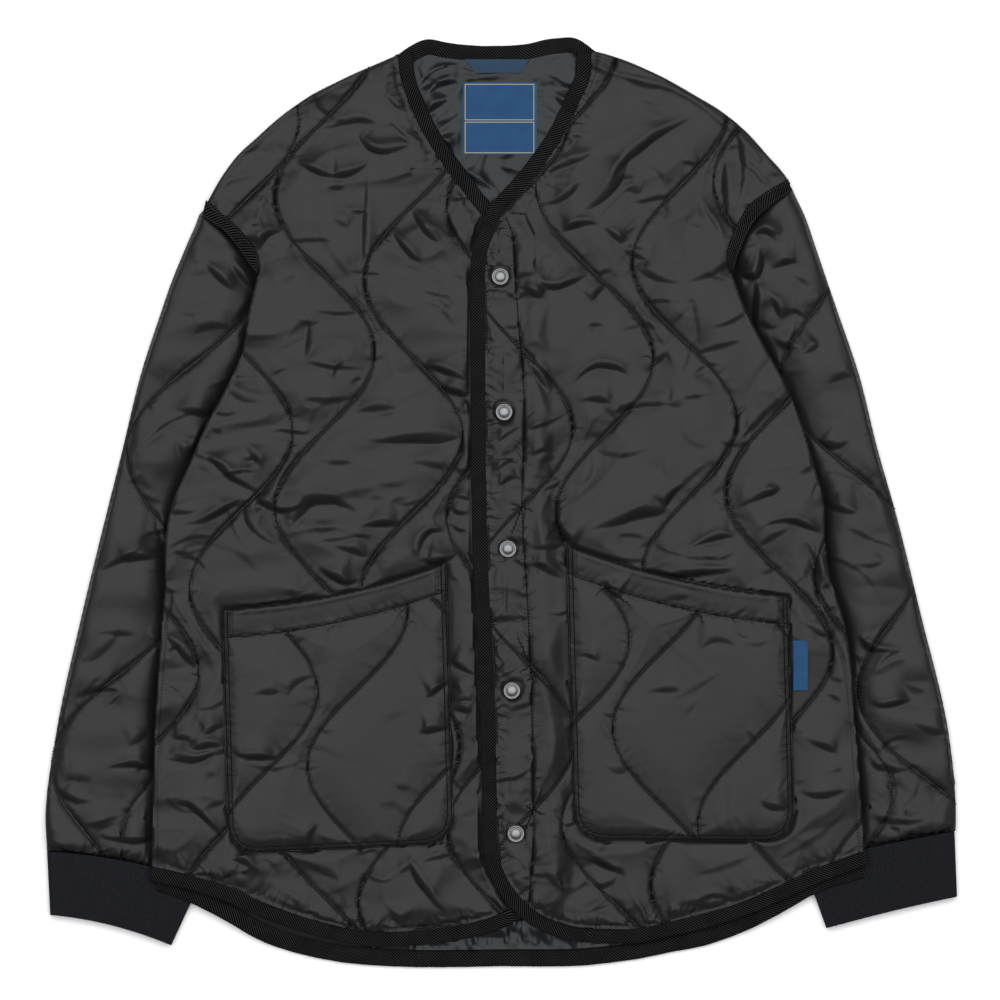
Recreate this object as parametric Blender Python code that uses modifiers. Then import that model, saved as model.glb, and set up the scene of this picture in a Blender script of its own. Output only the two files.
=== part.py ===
"""A quilted jacket with knitted cuffs, laid flat on its back and snapped shut.

Sizes are in millimetres and become metres when a mesh is made. +X is towards the wearer's left,
+Y towards the neck and +Z up from the surface that the jacket lies on. Each table gives distances
outward from the centre line ("across") for the wearer's right and left halves, so both halves are
drawn alike, and the right one is turned over at the end.
"""

import math
from collections import namedtuple

import bpy
import numpy as np
from mathutils import Vector
from mathutils.bvhtree import BVHTree
from mathutils.geometry import delaunay_2d_cdt

MM = 0.001
SIDES = {"right": -1, "left": 1}
GAP = 0.3              # between pieces that meet at a seam
STEP = 12.0            # between points along an outline
FINE_GRID = 17.0       # between points of a quilted face
PLAIN_GRID = 42.0      # between points of a plain face

# --- the layers, from the surface up ---
BACK_WALL = 5.0
LINING_WALL = 1.0
LINING_BED = BACK_WALL + GAP
FRONT_BED = LINING_BED + LINING_WALL + GAP
STITCHED_WALL = 2.4    # quilting on a stitch line
SWOLLEN_WALL = 7.6     # quilting between stitch lines
PRESSED_WALL = 3.2     # quilting under another layer
SWELL_REACH = 27.0     # from a stitch line to the full swell
BINDING_WIDTH = 13.5
BINDING_WALL = 3.6
OVERLAP_RISE = BINDING_WALL + 2 * GAP    # the left front lies over the right one
TUCKED_SLEEVE = 7.6    # sleeve and cuff where the body lies on them
BODY_RISE = TUCKED_SLEEVE + 2 * GAP
BODY_SLOPE = 90.0      # from a tucked sleeve to where the body lies flat again
FOLD_ROUND = 9.0       # how far in a folded or bound edge is round

# --- the body's outline ---
Level = namedtuple("Level", "height right left")
FREE_EDGES = [         # V and closing, across; below 0 it laps past the centre line
    Level(355, 71, 59), Level(338, 69, 58), Level(320, 63, 50), Level(290, 48, 35),
    Level(265, 31, 17), Level(245, 16, 0), Level(232, 6, -11), Level(215, -6, -18),
    Level(200, -13, -23), Level(180, -18, -25), Level(128, -21, -25), Level(-44, -26, -23),
    Level(-148, -32, -18), Level(-228, -38, -16), Level(-270, -40, -16),
]
SIDE_FOLDS = [
    Level(183, 192, 181), Level(150, 200, 193), Level(120, 205, 209), Level(90, 218, 225),
    Level(60, 234, 237), Level(30, 247, 246), Level(0, 260, 254), Level(-30, 266, 255),
    Level(-60, 266, 259), Level(-90, 268, 269), Level(-180, 274, 279), Level(-298, 276, 287),
]
SLEEVE_FOLDS = [
    Level(244, 237, 231), Level(226, 240, 239.5), Level(203, 249.5, 247.5),
    Level(175, 261, 257), Level(146, 271, 267), Level(105, 284.5, 281), Level(38, 301, 298),
    Level(0, 310.5, 309), Level(-90, 332.5, 331.5), Level(-185, 353, 353.5),
    Level(-248, 361, 359), Level(-276, 360, 358),
]
Station = namedtuple("Station", "across right left")
SHOULDERS = [
    Station(74, 357, 356), Station(90, 350, 351.5), Station(110, 341.5, 343.5),
    Station(130, 332, 334), Station(153, 320, 321), Station(175, 304.5, 307.5),
    Station(194, 287.5, 291.5), Station(210, 272.5, 273.5), Station(222, 256, 260),
    Station(235, 233, 241),
]
FRONT_HEM = [
    Station(45, -351, -349), Station(70, -351, -349), Station(105, -351, -349),
    Station(135, -346, -343), Station(160, -339, -337), Station(190, -328, -328),
    Station(220, -315, -315), Station(245, -307, -303), Station(287, -297, -287),
]
BACK_HEM = [
    Station(0, -367.5, -367.5), Station(67, -368, -366.5), Station(105, -366.5, -362),
    Station(135, -363, -356), Station(160, -357.5, -351), Station(190, -347.5, -340.5),
    Station(220, -330.5, -325.5), Station(245, -317.5, -311), Station(287, -303, -297),
]
BACK_NECK = [
    Station(0, 361, 361), Station(16, 361, 362), Station(43, 363.5, 367),
    Station(60, 366, 366.5), Station(74, 360, 356.5), Station(84, 352.5, 350),
]
CORNER_RADIUS = 85.0
SHOULDER_TIP = {"right": (235.5, 233), "left": (228, 251)}
ARMHOLE_BOW = {"right": (200, 199), "left": (186, 226)}
UNDERARM = {"right": (192, 183), "left": (181, 182)}

# --- sleeve and cuff: what lies under the body is drawn plainly ---
SLEEVE_WALLS = 14.0            # both walls of the tube between stitch lines
SLEEVE_STITCHED = 9.0
TUBE_MIDDLE = 4.0              # height of the slit between the walls
TUBE_SLIT = 0.8
TUBE_ROUND = 8.0               # how far in a tube's underside is round
FOLD_MARGIN = 9.0              # from a tube's fold to its slit
HIDDEN_UNDERARM = (176, 84)
CUFF_TOP_IN = {"right": (238, -299), "left": (238, -285)}
CUFF_TOP_OUT = {"right": (360, -276), "left": (358, -260)}
CUFF_END_OUT = {"right": (357.5, -326.5), "left": (360, -312)}
CUFF_END_IN = {"right": (261.5, -350.5), "left": (256.5, -337)}
CUFF_BOW = {"right": 4, "left": 1}    # how far the cuff's seam and end curve towards the neck
CUFF_WALLS = 8.4
RIB_PITCH = 2.5
RIB_RISE = 0.35

# --- quilting: waves that run down the cloth, every other one a quarter wave lower ---
WAVE_LENGTH = 246.0
WAVE_SWING = 39.5
Wave = namedtuple("Wave", "x bulge lean")    # middle line, height of a bulge to -X, drift
BODY_WAVES = {
    "right": [Wave(-4, 233, 0), Wave(-71, 175, 0.01), Wave(-140, 241, 0), Wave(-206, 178, 0.02),
              Wave(-279, 235, 0)],
    "left": [Wave(17, 182, -0.01), Wave(82, 237, -0.02), Wave(148, 188, -0.03),
             Wave(217, 252, -0.04), Wave(284, 188, -0.04)],
}
SLEEVE_WAVES = {
    "right": [Wave(-268.5, 49, 0.24), Wave(-200, -12, 0.24)],
    "left": [Wave(281.5, -159, -0.25), Wave(212.5, -97, -0.25)],
}
POCKET_WAVES = {
    "right": [Wave(-185, -273, 0), Wave(-114, -209, 0), Wave(-43, -273, 0)],
    "left": [Wave(61, -232, 0), Wave(127, -179, 0), Wave(194, -255, 0)],
}
Fold = namedtuple("Fold", "side x y to_x to_y depth")
FOLDS = [              # the largest creases of the fronts, as troughs
    Fold("right", -161, 270, -136, 257, 1.8), Fold("right", -136, 257, -106, 269, 1.8),
    Fold("right", -92, 308, -61, 284, 1.4), Fold("right", -120, 51, -33, 57, 1.8),
    Fold("right", -258, -18, -209, 2, 1.4), Fold("right", -163, -14, -112, 2, 1.8),
    Fold("left", 52, 227, 101, 268, 1.6), Fold("left", 101, 268, 149, 303, 1.6),
    Fold("left", 54, 81, 99, 100, 1.4), Fold("left", 66, -30, 156, 13, 1.8),
    Fold("left", 180, -10, 220, 9, 1.4),
]
FOLD_REACH = 13.0

# --- pockets, label, loop, tag and snaps ---
Pocket = namedtuple("Pocket", "top_in top_out end_out end_in")
POCKETS = {
    "right": Pocket((44, -48), (221, -85), (216, -278), (38, -270)),
    "left": Pocket((51, -34), (226, -74), (231, -268), (57, -267)),
}
POCKET_SAG = 7.0
POCKET_CORNER = 27.0
POCKET_BAND = 22.0
POCKET_BED = PRESSED_WALL + 2 * GAP
POCKET_SWOLLEN = 6.0
LABEL_SIZE, LABEL_MIDDLE = (57.0, 56.0), (-4.7, 304.5)
LOOP_SIZE, LOOP_MIDDLE, LOOP_RISE = (50.0, 8.5), (-3.5, 340.0), 1.6
TAG_SIZE, TAG_MIDDLE = (12.0, 39.5), (235.5, -129.0)
LABEL_WALL = 0.9
TAPE_WALL = 1.5
TAPE_WIDTH = 13.0
SNAP_HEIGHTS = (178, 71, -37, -149, -262)
SNAP_LINE = (3.6, -0.028)      # x at height 0, and its drift per height
SNAP_RADIUS, SNAP_RISE = 7.0, 3.0


# ------------------------------------------------------------------ curves in the plane
def through(rows, key, column, at):
    """A table's column as a smooth curve: a cubic from row to row, with the mean slope at each."""
    rows = sorted(rows, key=lambda row: getattr(row, key))
    keys = np.array([getattr(row, key) for row in rows], float)
    values = np.array([getattr(row, column) for row in rows], float)
    slopes = np.gradient(values, keys)
    row = np.clip(np.searchsorted(keys, at) - 1, 0, len(keys) - 2)
    span = keys[row + 1] - keys[row]
    t = np.clip((at - keys[row]) / span, 0, 1)
    ends = (1 + 2 * t) * (1 - t) ** 2 * values[row] + t * t * (3 - 2 * t) * values[row + 1]
    bows = t * (1 - t) ** 2 * slopes[row] - t * t * (1 - t) * slopes[row + 1]
    return ends + span * bows


def evenly(path, step=STEP):
    """The same path with points at equal steps, its two ends kept."""
    path = np.asarray(path, float)
    run = np.append(0, np.cumsum(np.linalg.norm(np.diff(path, axis=0), axis=1)))
    at = np.linspace(0, run[-1], max(2, round(run[-1] / step) + 1))
    return np.column_stack([np.interp(at, run, path[:, 0]), np.interp(at, run, path[:, 1])])


def inset(path, distance):
    """Each point moved to the left of the way that the path runs."""
    ahead = np.gradient(path, axis=0)
    ahead /= np.linalg.norm(ahead, axis=1, keepdims=True)
    return path + distance * np.column_stack([-ahead[:, 1], ahead[:, 0]])


def joined(*paths):
    """Paths end to end as one closed outline, without points that almost meet."""
    points = np.vstack(paths)
    step = np.linalg.norm(points - np.roll(points, 1, axis=0), axis=1)
    return points[step > 0.2 * STEP]


def bowed(start, control, end):
    """A curve from start to end that leans towards control."""
    t = np.linspace(0, 1, 24)[:, None]
    start, control, end = (np.array(point, float) for point in (start, control, end))
    return evenly((1 - t) ** 2 * start + 2 * t * (1 - t) * control + t * t * end)


def straight(*corners):
    return np.vstack([evenly([a, b])[:-1] for a, b in zip(corners, corners[1:])] + [corners[-1:]])


def circle(radius, count=12):
    turn = np.linspace(0, 2 * math.pi, count + 1)
    return radius * np.column_stack([np.cos(turn), np.sin(turn)])


def on_side(points, side):
    """Points drawn across and up, set on the wearer's right or left, still anticlockwise."""
    points = np.asarray(points, float) * (SIDES[side], 1)
    return points[::SIDES[side]]


# ------------------------------------------------------------------ distances and layers
def distance(points, path, closed=False):
    """From each point to the nearest place on a path."""
    path = np.asarray(path, float)
    ends = np.roll(path, -1, axis=0) if closed else path[1:]
    starts = path if closed else path[:-1]
    along = ends - starts
    offset = points[:, None] - starts
    t = np.clip((offset * along).sum(2) / (along * along).sum(1), 0, 1)
    return np.linalg.norm(offset - t[..., None] * along, axis=2).min(1)


def inside(points, outline):
    """Whether each point is in the outline: a ray to +X crosses it an odd number of times."""
    a, b = outline, np.roll(outline, -1, axis=0)
    x, y = points[:, :1], points[:, 1:]
    spans = (a[:, 1] > y) != (b[:, 1] > y)
    rise = np.where(b[:, 1] == a[:, 1], 1, b[:, 1] - a[:, 1])
    crossing = a[:, 0] + (y - a[:, 1]) / rise * (b[:, 0] - a[:, 0])
    return (spans & (crossing > x)).sum(1) % 2 == 1


def eased(t):
    t = np.clip(t, 0, 1)
    return t * t * (3 - 2 * t)


def over(points, outline, shelf, reach):
    """1 on a flat piece and for a shelf round it, easing to 0 at reach beyond that."""
    away = np.where(inside(points, outline), 0, distance(points, outline, closed=True))
    return eased(1 - (away - shelf) / reach)


def swell(away, reach):
    """A quarter round: 0 on a seam, 1 from reach on."""
    return np.sqrt(1 - (1 - np.clip(away / reach, 0, 1)) ** 2)


def rim(points, outline, reach, least=0.25):
    return least + (1 - least) * swell(distance(points, outline, closed=True), reach)


def wave(middle, top, bottom):
    """A quilting line: x swings round its leaning middle line, to -X at the bulge's height."""
    heights = np.arange(top, bottom, -2.0)
    turn = 2 * math.pi * (heights - middle.bulge) / WAVE_LENGTH
    x = middle.x + middle.lean * heights - WAVE_SWING * np.cos(turn)
    return np.column_stack([x, heights])


# ------------------------------------------------------------------ outlines, across and up
def free_edge(side):
    """A front's bound edge: down the V and the closing, round the corner, along the hem."""
    end = through(FRONT_HEM, "across", side, 70.0) + CORNER_RADIUS
    heights = np.arange(FREE_EDGES[0].height, end, -4.0)
    closing = np.column_stack([through(FREE_EDGES, "height", side, heights), heights])
    turn = np.linspace(math.pi, 1.5 * math.pi, 16)
    middle = closing[-1] + (CORNER_RADIUS, 0)
    corner = middle + CORNER_RADIUS * np.column_stack([np.cos(turn), np.sin(turn)])
    across = np.arange(corner[-1, 0] + 4, SIDE_FOLDS[-1]._asdict()[side], 4.0)
    hem = np.column_stack([across, through(FRONT_HEM, "across", side, across)])
    return evenly(np.vstack([closing, corner[1:], hem]))


def side_fold(side, start):
    heights = np.arange(start, UNDERARM[side][1] + 0.5, 4.0)
    return evenly(np.column_stack([through(SIDE_FOLDS, "height", side, heights), heights]))


def armhole(side):
    return bowed(UNDERARM[side], ARMHOLE_BOW[side], SHOULDER_TIP[side])


def shoulder(side, end):
    across = np.arange(SHOULDER_TIP[side][0], end, -4.0)
    return evenly(np.column_stack([across, through(SHOULDERS, "across", side, across)]))


def front_outline(side, trim):
    """A front's cut edge, trim inside its bound edge and on its folds elsewhere."""
    edge = inset(free_edge(side), trim)
    upward = side_fold(side, edge[-1, 1] + 0.5 * STEP)
    return joined(edge, upward, armhole(side), shoulder(side, edge[0, 0] + 0.5 * STEP))


def back_hem(side):
    across = np.arange(0, SIDE_FOLDS[-1]._asdict()[side], 4.0)
    return evenly(np.column_stack([across, through(BACK_HEM, "across", side, across)]))


def back_neck(side):
    across = np.arange(0, 85.0, 4.0)
    return evenly(np.column_stack([across, through(BACK_NECK, "across", side, across)]))


def across_both(half):
    """A line for both halves, from the wearer's right to the left."""
    right = half("right") * (-1, 1)
    return np.vstack([right[:0:-1], half("left")])


def back_outline(trim):
    hem = inset(across_both(back_hem), trim)
    neck = inset(across_both(back_neck)[::-1], trim)
    left, right = (
        joined(side_fold(side, end[1] + 0.5 * STEP), armhole(side), shoulder(side, 85))
        for side, end in (("left", hem[-1]), ("right", hem[0]))
    )
    return joined(hem, left, neck, right[::-1] * (-1, 1))


def sleeve_fold(side):
    heights = np.arange(CUFF_TOP_OUT[side][1], SHOULDER_TIP[side][1] - 6, 4.0)
    return evenly(np.column_stack([through(SLEEVE_FOLDS, "height", side, heights), heights]))


def cuff_line(start, end, side):
    """The cuff's seam or its end, slightly curved."""
    start, end = np.array(start, float), np.array(end, float)
    return bowed(start, (start + end) / 2 + (0, 2 * CUFF_BOW[side]), end)


def sleeve_outline(side):
    """Up the outer fold, over the armhole's end, down the hidden inner fold and along the cuff."""
    tip, underarm = np.array(SHOULDER_TIP[side]), np.array(UNDERARM[side])
    end = inset(armhole(side), -GAP)[::-1]
    return joined(sleeve_fold(side), [tip + (1, -2)], end[1:-1],
                  straight(underarm + (GAP, -GAP), HIDDEN_UNDERARM, CUFF_TOP_IN[side])[:-1],
                  cuff_line(CUFF_TOP_IN[side], CUFF_TOP_OUT[side], side)[:-1])


def tucked(side):
    """Where the body lies over the sleeve and the cuff."""
    fold = side_fold(side, SIDE_FOLDS[-1].height)
    below = straight(CUFF_END_IN[side], (290, CUFF_END_IN[side][1]), fold[0])
    return joined(fold, straight(UNDERARM[side], HIDDEN_UNDERARM, CUFF_TOP_IN[side],
                                 CUFF_END_IN[side]), below)


def pocket_top(side, drop):
    """The pocket's mouth from its outer end to its inner one, or a line drop below it."""
    pocket = POCKETS[side]
    t = np.linspace(0, 1, 16)[:, None]
    line = (1 - t) * np.array(pocket.top_out) + t * np.array(pocket.top_in)
    return evenly(line - np.hstack([0 * t, 4 * POCKET_SAG * t * (1 - t) + drop]), 10.0)


def pocket_outline(side):
    """Along the mouth, down the inner side, round both corners and up the outer side."""
    pocket = POCKETS[side]
    corners = np.array([pocket.top_in, pocket.end_in, pocket.end_out, pocket.top_out], float)
    path = [corners[:1]]
    for before, corner, after in zip(corners, corners[1:], corners[2:]):
        back, on = before - corner, after - corner
        path.append(bowed(corner + POCKET_CORNER * back / np.linalg.norm(back), corner,
                          corner + POCKET_CORNER * on / np.linalg.norm(on)))
    path.append(corners[-1:])
    return joined(pocket_top(side, 0), evenly(np.vstack(path)))


# ------------------------------------------------------------------ meshes
def material(name, colour, roughness, metallic=0.0):
    made = bpy.data.materials.new(name)
    made.use_nodes = True
    shader = made.node_tree.nodes["Principled BSDF"]
    shader.inputs["Base Color"].default_value = (*colour, 1.0)
    shader.inputs["Roughness"].default_value = roughness
    shader.inputs["Metallic"].default_value = metallic
    return made


def put(name, verts, faces, finish, group=None):
    """Millimetre points as a metre mesh, in the jacket's collection or the cutters'."""
    mesh = bpy.data.meshes.new(name)
    mesh.from_pydata((np.asarray(verts) * MM).tolist(), [], faces)
    mesh.validate()
    mesh.materials.append(finish)
    made = bpy.data.objects.new(name, mesh)
    (group or jacket).objects.link(made)
    return made


def clear(spots, outline, others, from_outline, from_others):
    """The spots that are inside an outline and not too near it or the other points."""
    spots = spots[inside(spots, outline)]
    spots = spots[distance(spots, outline, closed=True) > from_outline]
    if not len(others) or not len(spots):
        return spots
    return spots[np.linalg.norm(spots[:, None] - others, axis=2).min(1) > from_others]


def filled(outline, lines, grid, rings):
    """Triangles over an outline: points along its lines, beside them, in rings and on a grid."""
    points, edges = np.zeros((0, 2)), []
    for line in lines:
        spots = evenly(line, 0.8 * grid)
        good = inside(spots, outline) & (distance(spots, outline, closed=True) > 4)
        rank = np.cumsum(good) - 1 + len(points) + len(outline)
        edges += [(int(rank[i]), int(rank[i + 1])) for i in np.flatnonzero(good[:-1] & good[1:])]
        points = np.vstack([points, spots[good]])
    beside = [inset(evenly(line, grid), away * grid) for line in lines for away in (-0.42, 0.42)]
    for spots in beside:
        points = np.vstack([points, clear(spots, outline, points, 0.3 * grid, 0.3 * grid)])
    for ring in rings:
        spots = inset(np.vstack([outline, outline[:1]]), ring)[:-1]
        points = np.vstack([points, clear(spots, outline, points, 0.9 * ring, 0.45 * grid)])
    low, high = outline.min(0), outline.max(0)
    x, y = np.meshgrid(np.arange(low[0], high[0], grid), np.arange(low[1], high[1], 0.866 * grid))
    x = x + grid / 2 * (np.arange(len(x)) % 2)[:, None]
    spots = np.column_stack([x.ravel(), y.ravel()])
    points = np.vstack([points, clear(spots, outline, points, 0.55 * grid, 0.62 * grid)])
    flat = [Vector(point) for point in np.vstack([outline, points]).tolist()]
    rim_face = list(range(len(outline)))
    spots, _, faces, origins, _, _ = delaunay_2d_cdt(flat, edges, [rim_face], 1, 0.01)
    place = {first: at for at, names in enumerate(origins) for first in names}
    return np.array(spots), [list(face) for face in faces], [place[i] for i in rim_face]


def wall(name, outline, top, bottom, finish, lines=(), bottom_lines=(), grid=FINE_GRID,
         bottom_grid=PLAIN_GRID, rings=(3.5, 10.0), bottom_rings=(), group=None):
    """A closed wall between two faces, each a height worked out over the same outline."""
    upper, upper_faces, upper_rim = filled(outline, lines, grid, rings)
    lower, lower_faces, lower_rim = filled(outline, bottom_lines, bottom_grid, bottom_rings)
    shift = len(upper)
    verts = np.vstack([np.column_stack([upper, top(upper)]),
                       np.column_stack([lower, bottom(lower)])])
    faces = upper_faces + [[shift + corner for corner in face[::-1]] for face in lower_faces]
    for (a, b), (c, d) in zip(zip(upper_rim, np.roll(upper_rim, -1)),
                              zip(lower_rim, np.roll(lower_rim, -1))):
        faces.append([shift + int(c), shift + int(d), int(b), int(a)])
    return put(name, verts, faces, finish, group)


def band(name, edge, bed, section):
    """A strip along an edge: its section's points are (distance inward, height over the bed)."""
    rows = []
    for inward, rise in section:
        line = inset(edge, inward)
        rows.append(np.column_stack([line, bed(line) + rise]))
    verts = np.stack(rows, axis=1).reshape(-1, 3)
    wide = len(section)
    faces = []
    for i in range(len(edge) - 1):
        for j in range(wide):
            k = (j + 1) % wide
            faces.append([i * wide + j, (i + 1) * wide + j, (i + 1) * wide + k, i * wide + k])
    last = (len(edge) - 1) * wide
    faces.append(list(range(wide)))
    faces.append([last + j for j in range(wide)][::-1])
    return put(name, verts, faces, TWILL)


def bound(width, height):
    """A binding's section, clockwise as its edge runs: round outside, square at the seam."""
    return [(0, 0.25 * height), (0, 0.7 * height), (0.16 * width, height), (width, height),
            (width, 0), (0.16 * width, 0)]


def tops(*objects):
    """A function that reads the highest of some meshes under each point."""
    trees = []
    for each in objects:
        verts = [vertex.co / MM for vertex in each.data.vertices]
        trees.append(BVHTree.FromPolygons(verts, [list(f.vertices) for f in each.data.polygons]))

    def height(points):
        found = []
        for x, y in points:
            hits = [tree.ray_cast(Vector((x, y, 200.0)), Vector((0, 0, -1)))[0] for tree in trees]
            found.append(max((hit.z for hit in hits if hit), default=0.0))
        return np.array(found)
    return height


# ------------------------------------------------------------------ a clean file
for old in list(bpy.data.objects):
    bpy.data.objects.remove(old, do_unlink=True)

jacket = bpy.data.collections.new("quilted_jacket")
cutters = bpy.data.collections.new("cutters")
for group in (jacket, cutters):
    bpy.context.scene.collection.children.link(group)

SHELL = material("charcoal nylon", (0.045, 0.045, 0.047), 0.42)
TWILL = material("black twill", (0.008, 0.008, 0.009), 0.8)
RIB = material("navy-black rib knit", (0.010, 0.011, 0.016), 0.9)
SATIN = material("slate satin", (0.035, 0.040, 0.046), 0.35)
WOVEN = material("blue woven label", (0.012, 0.075, 0.24), 0.6)
NAVY = material("navy tape", (0.015, 0.028, 0.075), 0.75)
METAL = material("dark metal", (0.28, 0.28, 0.29), 0.38, 1.0)

TUCKS = {side: on_side(tucked(side), side) for side in SIDES}
BOUND_FRONTS = {side: on_side(front_outline(side, 0), side) for side in SIDES}
POCKET_CUTS = {side: on_side(pocket_outline(side), side) for side in SIDES}
SNAPS = np.array([(SNAP_LINE[0] + SNAP_LINE[1] * height, height) for height in SNAP_HEIGHTS])


def level(points, height):
    return np.full(len(points), float(height))


def body_rise(points):
    """How far the sleeves lift the body's layers, easing down towards the centre."""
    return BODY_RISE * np.maximum(*(over(points, tuck, 8, BODY_SLOPE) for tuck in TUCKS.values()))


def runs(line, shown):
    """The stretches of a line whose points are shown."""
    edges = np.flatnonzero(np.diff(shown.astype(int))) + 1
    parts = [part for part, keep in zip(np.split(line, edges), np.split(shown, edges)) if keep[0]]
    return [part for part in parts if len(part) > 8]


def nearest(points, lines):
    return np.minimum.reduce([distance(points, line) for line in lines])


# ------------------------------------------------------------------ back, lining and neck
def make_back():
    cut = back_outline(BINDING_WIDTH + GAP)

    def fold(points):
        return 1 - rim(points, cut, FOLD_ROUND)

    def under(points):
        return body_rise(points) + 2.0 * fold(points) * (body_rise(points) > 1)

    wall("back_panel", cut, lambda p: body_rise(p) + BACK_WALL - 1.2 * fold(p), under,
         SHELL, grid=PLAIN_GRID, rings=(FOLD_ROUND,), bottom_rings=(FOLD_ROUND,))
    band("back_hem_binding", across_both(back_hem), body_rise, bound(BINDING_WIDTH, BACK_WALL))
    band("back_neck_binding", across_both(back_neck)[::-1], body_rise,
         bound(BINDING_WIDTH, BACK_WALL + 1))


def make_flat(name, outline, bed, thick, finish):
    """A thin piece on a bed, which is a height worked out at each point."""
    wall(name, outline, lambda p: bed(p) + thick, bed, finish,
         grid=PLAIN_GRID / 2, bottom_grid=PLAIN_GRID / 2, rings=())


def patch(size, middle):
    """A rectangle's outline."""
    half = np.array(size) / 2
    corners = [np.array(middle) + half * sign for sign in ((-1, -1), (1, -1), (1, 1), (-1, 1))]
    return evenly(np.vstack([corners, corners[:1]]), min(size) / 2)[:-1]


def make_neck():
    seam = inset(across_both(back_neck)[::-1], BINDING_WIDTH + 2 * GAP)
    seam = seam[np.abs(seam[:, 0] + 5) < 75]
    lining = joined(seam, bowed(seam[-1], (-84, 250), (-8, 205)),
                    bowed((-8, 205), (76, 250), seam[0]))
    make_flat("neck_lining", lining, lambda p: level(p, LINING_BED), LINING_WALL, SATIN)
    notch = joined(straight((-60, -351), (95, -351), (60, -290), (-40, -290), (-60, -351)))
    make_flat("hem_lining", notch, lambda p: level(p, LINING_BED), LINING_WALL, SATIN)
    lined = LINING_BED + LINING_WALL + GAP
    make_flat("neck_label", patch(LABEL_SIZE, LABEL_MIDDLE), lambda p: level(p, lined),
              LABEL_WALL, WOVEN)

    def arch(points):
        t = 2 * (points[:, 0] - LOOP_MIDDLE[0]) / LOOP_SIZE[0]
        return lined + LOOP_RISE * (1 - t * t)

    make_flat("hanger_loop", patch(LOOP_SIZE, LOOP_MIDDLE), arch, LABEL_WALL, NAVY)


# ------------------------------------------------------------------ fronts and their bindings
def front_bed(points, side):
    """The fronts lie on the back, and the left one laps over the right one."""
    lap = over(points, BOUND_FRONTS["right"], 2, 17) if side == "left" else 0
    return FRONT_BED + body_rise(points) + OVERLAP_RISE * lap


def front_pressed(points, side):
    """1 where another piece presses the front flat: a pocket, the other front or a snap."""
    pressed = over(points, POCKET_CUTS[side], 2, 14)
    if side == "right":
        return np.maximum(pressed, over(points, BOUND_FRONTS["left"], 3, 16))
    to_snap = np.linalg.norm(points[:, None] - SNAPS, axis=2).min(1)
    return np.maximum(pressed, eased(1 - (to_snap - SNAP_RADIUS - 1) / 8))


def make_front(side):
    cut = on_side(front_outline(side, BINDING_WIDTH + GAP), side)
    waves = [wave(line, 360, -360) for line in BODY_WAVES[side]]
    folds = [(np.array([(f.x, f.y), (f.to_x, f.to_y)]), f.depth) for f in FOLDS if f.side == side]

    def bed(points):
        return front_bed(points, side)

    def top(points):
        away = np.minimum(nearest(points, waves), 1.4 * distance(points, cut, closed=True))
        thick = STITCHED_WALL + (SWOLLEN_WALL - STITCHED_WALL) * swell(away, SWELL_REACH)
        for line, depth in folds:
            trough = depth * np.exp(-(2 * distance(points, line) / FOLD_REACH) ** 2)
            thick = np.maximum(thick - trough, STITCHED_WALL)
        return bed(points) + thick + (PRESSED_WALL - thick) * front_pressed(points, side)

    pocket = POCKET_CUTS[side]
    lines = [np.vstack([pocket, pocket[:1]])]
    lapped = []
    if side == "right":
        lines.append(on_side(inset(free_edge("left"), -4), "left"))
    else:
        lapped = [on_side(inset(free_edge("right"), reach), "right") for reach in (-2, -10, -19)]
        lines += lapped + [snap + circle(SNAP_RADIUS + 1.5) for snap in SNAPS]
    for line in waves:
        lines += runs(line, ~inside(line, pocket))
    lines += [line for line, _ in folds]
    band("front_binding_" + side, on_side(free_edge(side), side), bed,
         bound(BINDING_WIDTH, BINDING_WALL))
    return wall("front_" + side, cut, top, bed, SHELL, lines=lines, bottom_lines=lapped)


# ------------------------------------------------------------------ pockets
def make_pocket(side):
    cut = POCKET_CUTS[side]
    seam = on_side(pocket_top(side, POCKET_BAND), side)
    left_to_right = seam[np.argsort(seam[:, 0])]
    waves = []
    for line in POCKET_WAVES[side]:
        path = wave(line, seam[:, 1].max(), -360)
        below = path[:, 1] < np.interp(path[:, 0], *left_to_right.T) - 2
        waves += runs(path, below & inside(path, cut))

    def bed(points):
        return FRONT_BED + body_rise(points) + POCKET_BED

    def top(points):
        away = np.minimum(nearest(points, waves + [seam]),
                          1.5 * distance(points, cut, closed=True))
        swollen = (POCKET_SWOLLEN - STITCHED_WALL) * swell(away, SWELL_REACH)
        return bed(points) + STITCHED_WALL + swollen

    wall("pocket_" + side, cut, top, bed, SHELL, lines=waves + [seam], bottom_grid=FINE_GRID)


# ------------------------------------------------------------------ sleeves and cuffs
def make_tube(name, cut, top, ends, finish, **faces):
    """A flattened tube, round at its folds, with a slit from end to end between its walls."""
    def bottom(points):
        return TUBE_MIDDLE * (1 - rim(points, cut, TUBE_ROUND))

    tube = wall(name, cut, top, bottom, finish, **faces)
    slit = wall(name + "_slit", ends, lambda p: level(p, TUBE_MIDDLE + TUBE_SLIT / 2),
                lambda p: level(p, TUBE_MIDDLE - TUBE_SLIT / 2), finish,
                grid=3 * PLAIN_GRID, bottom_grid=3 * PLAIN_GRID, rings=(), group=cutters)
    slit.hide_render = True
    slit.display_type = "WIRE"
    opened = tube.modifiers.new("open both ends", "BOOLEAN")
    opened.operation = "DIFFERENCE"
    opened.solver = "EXACT"
    opened.object = slit
    return tube


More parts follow.
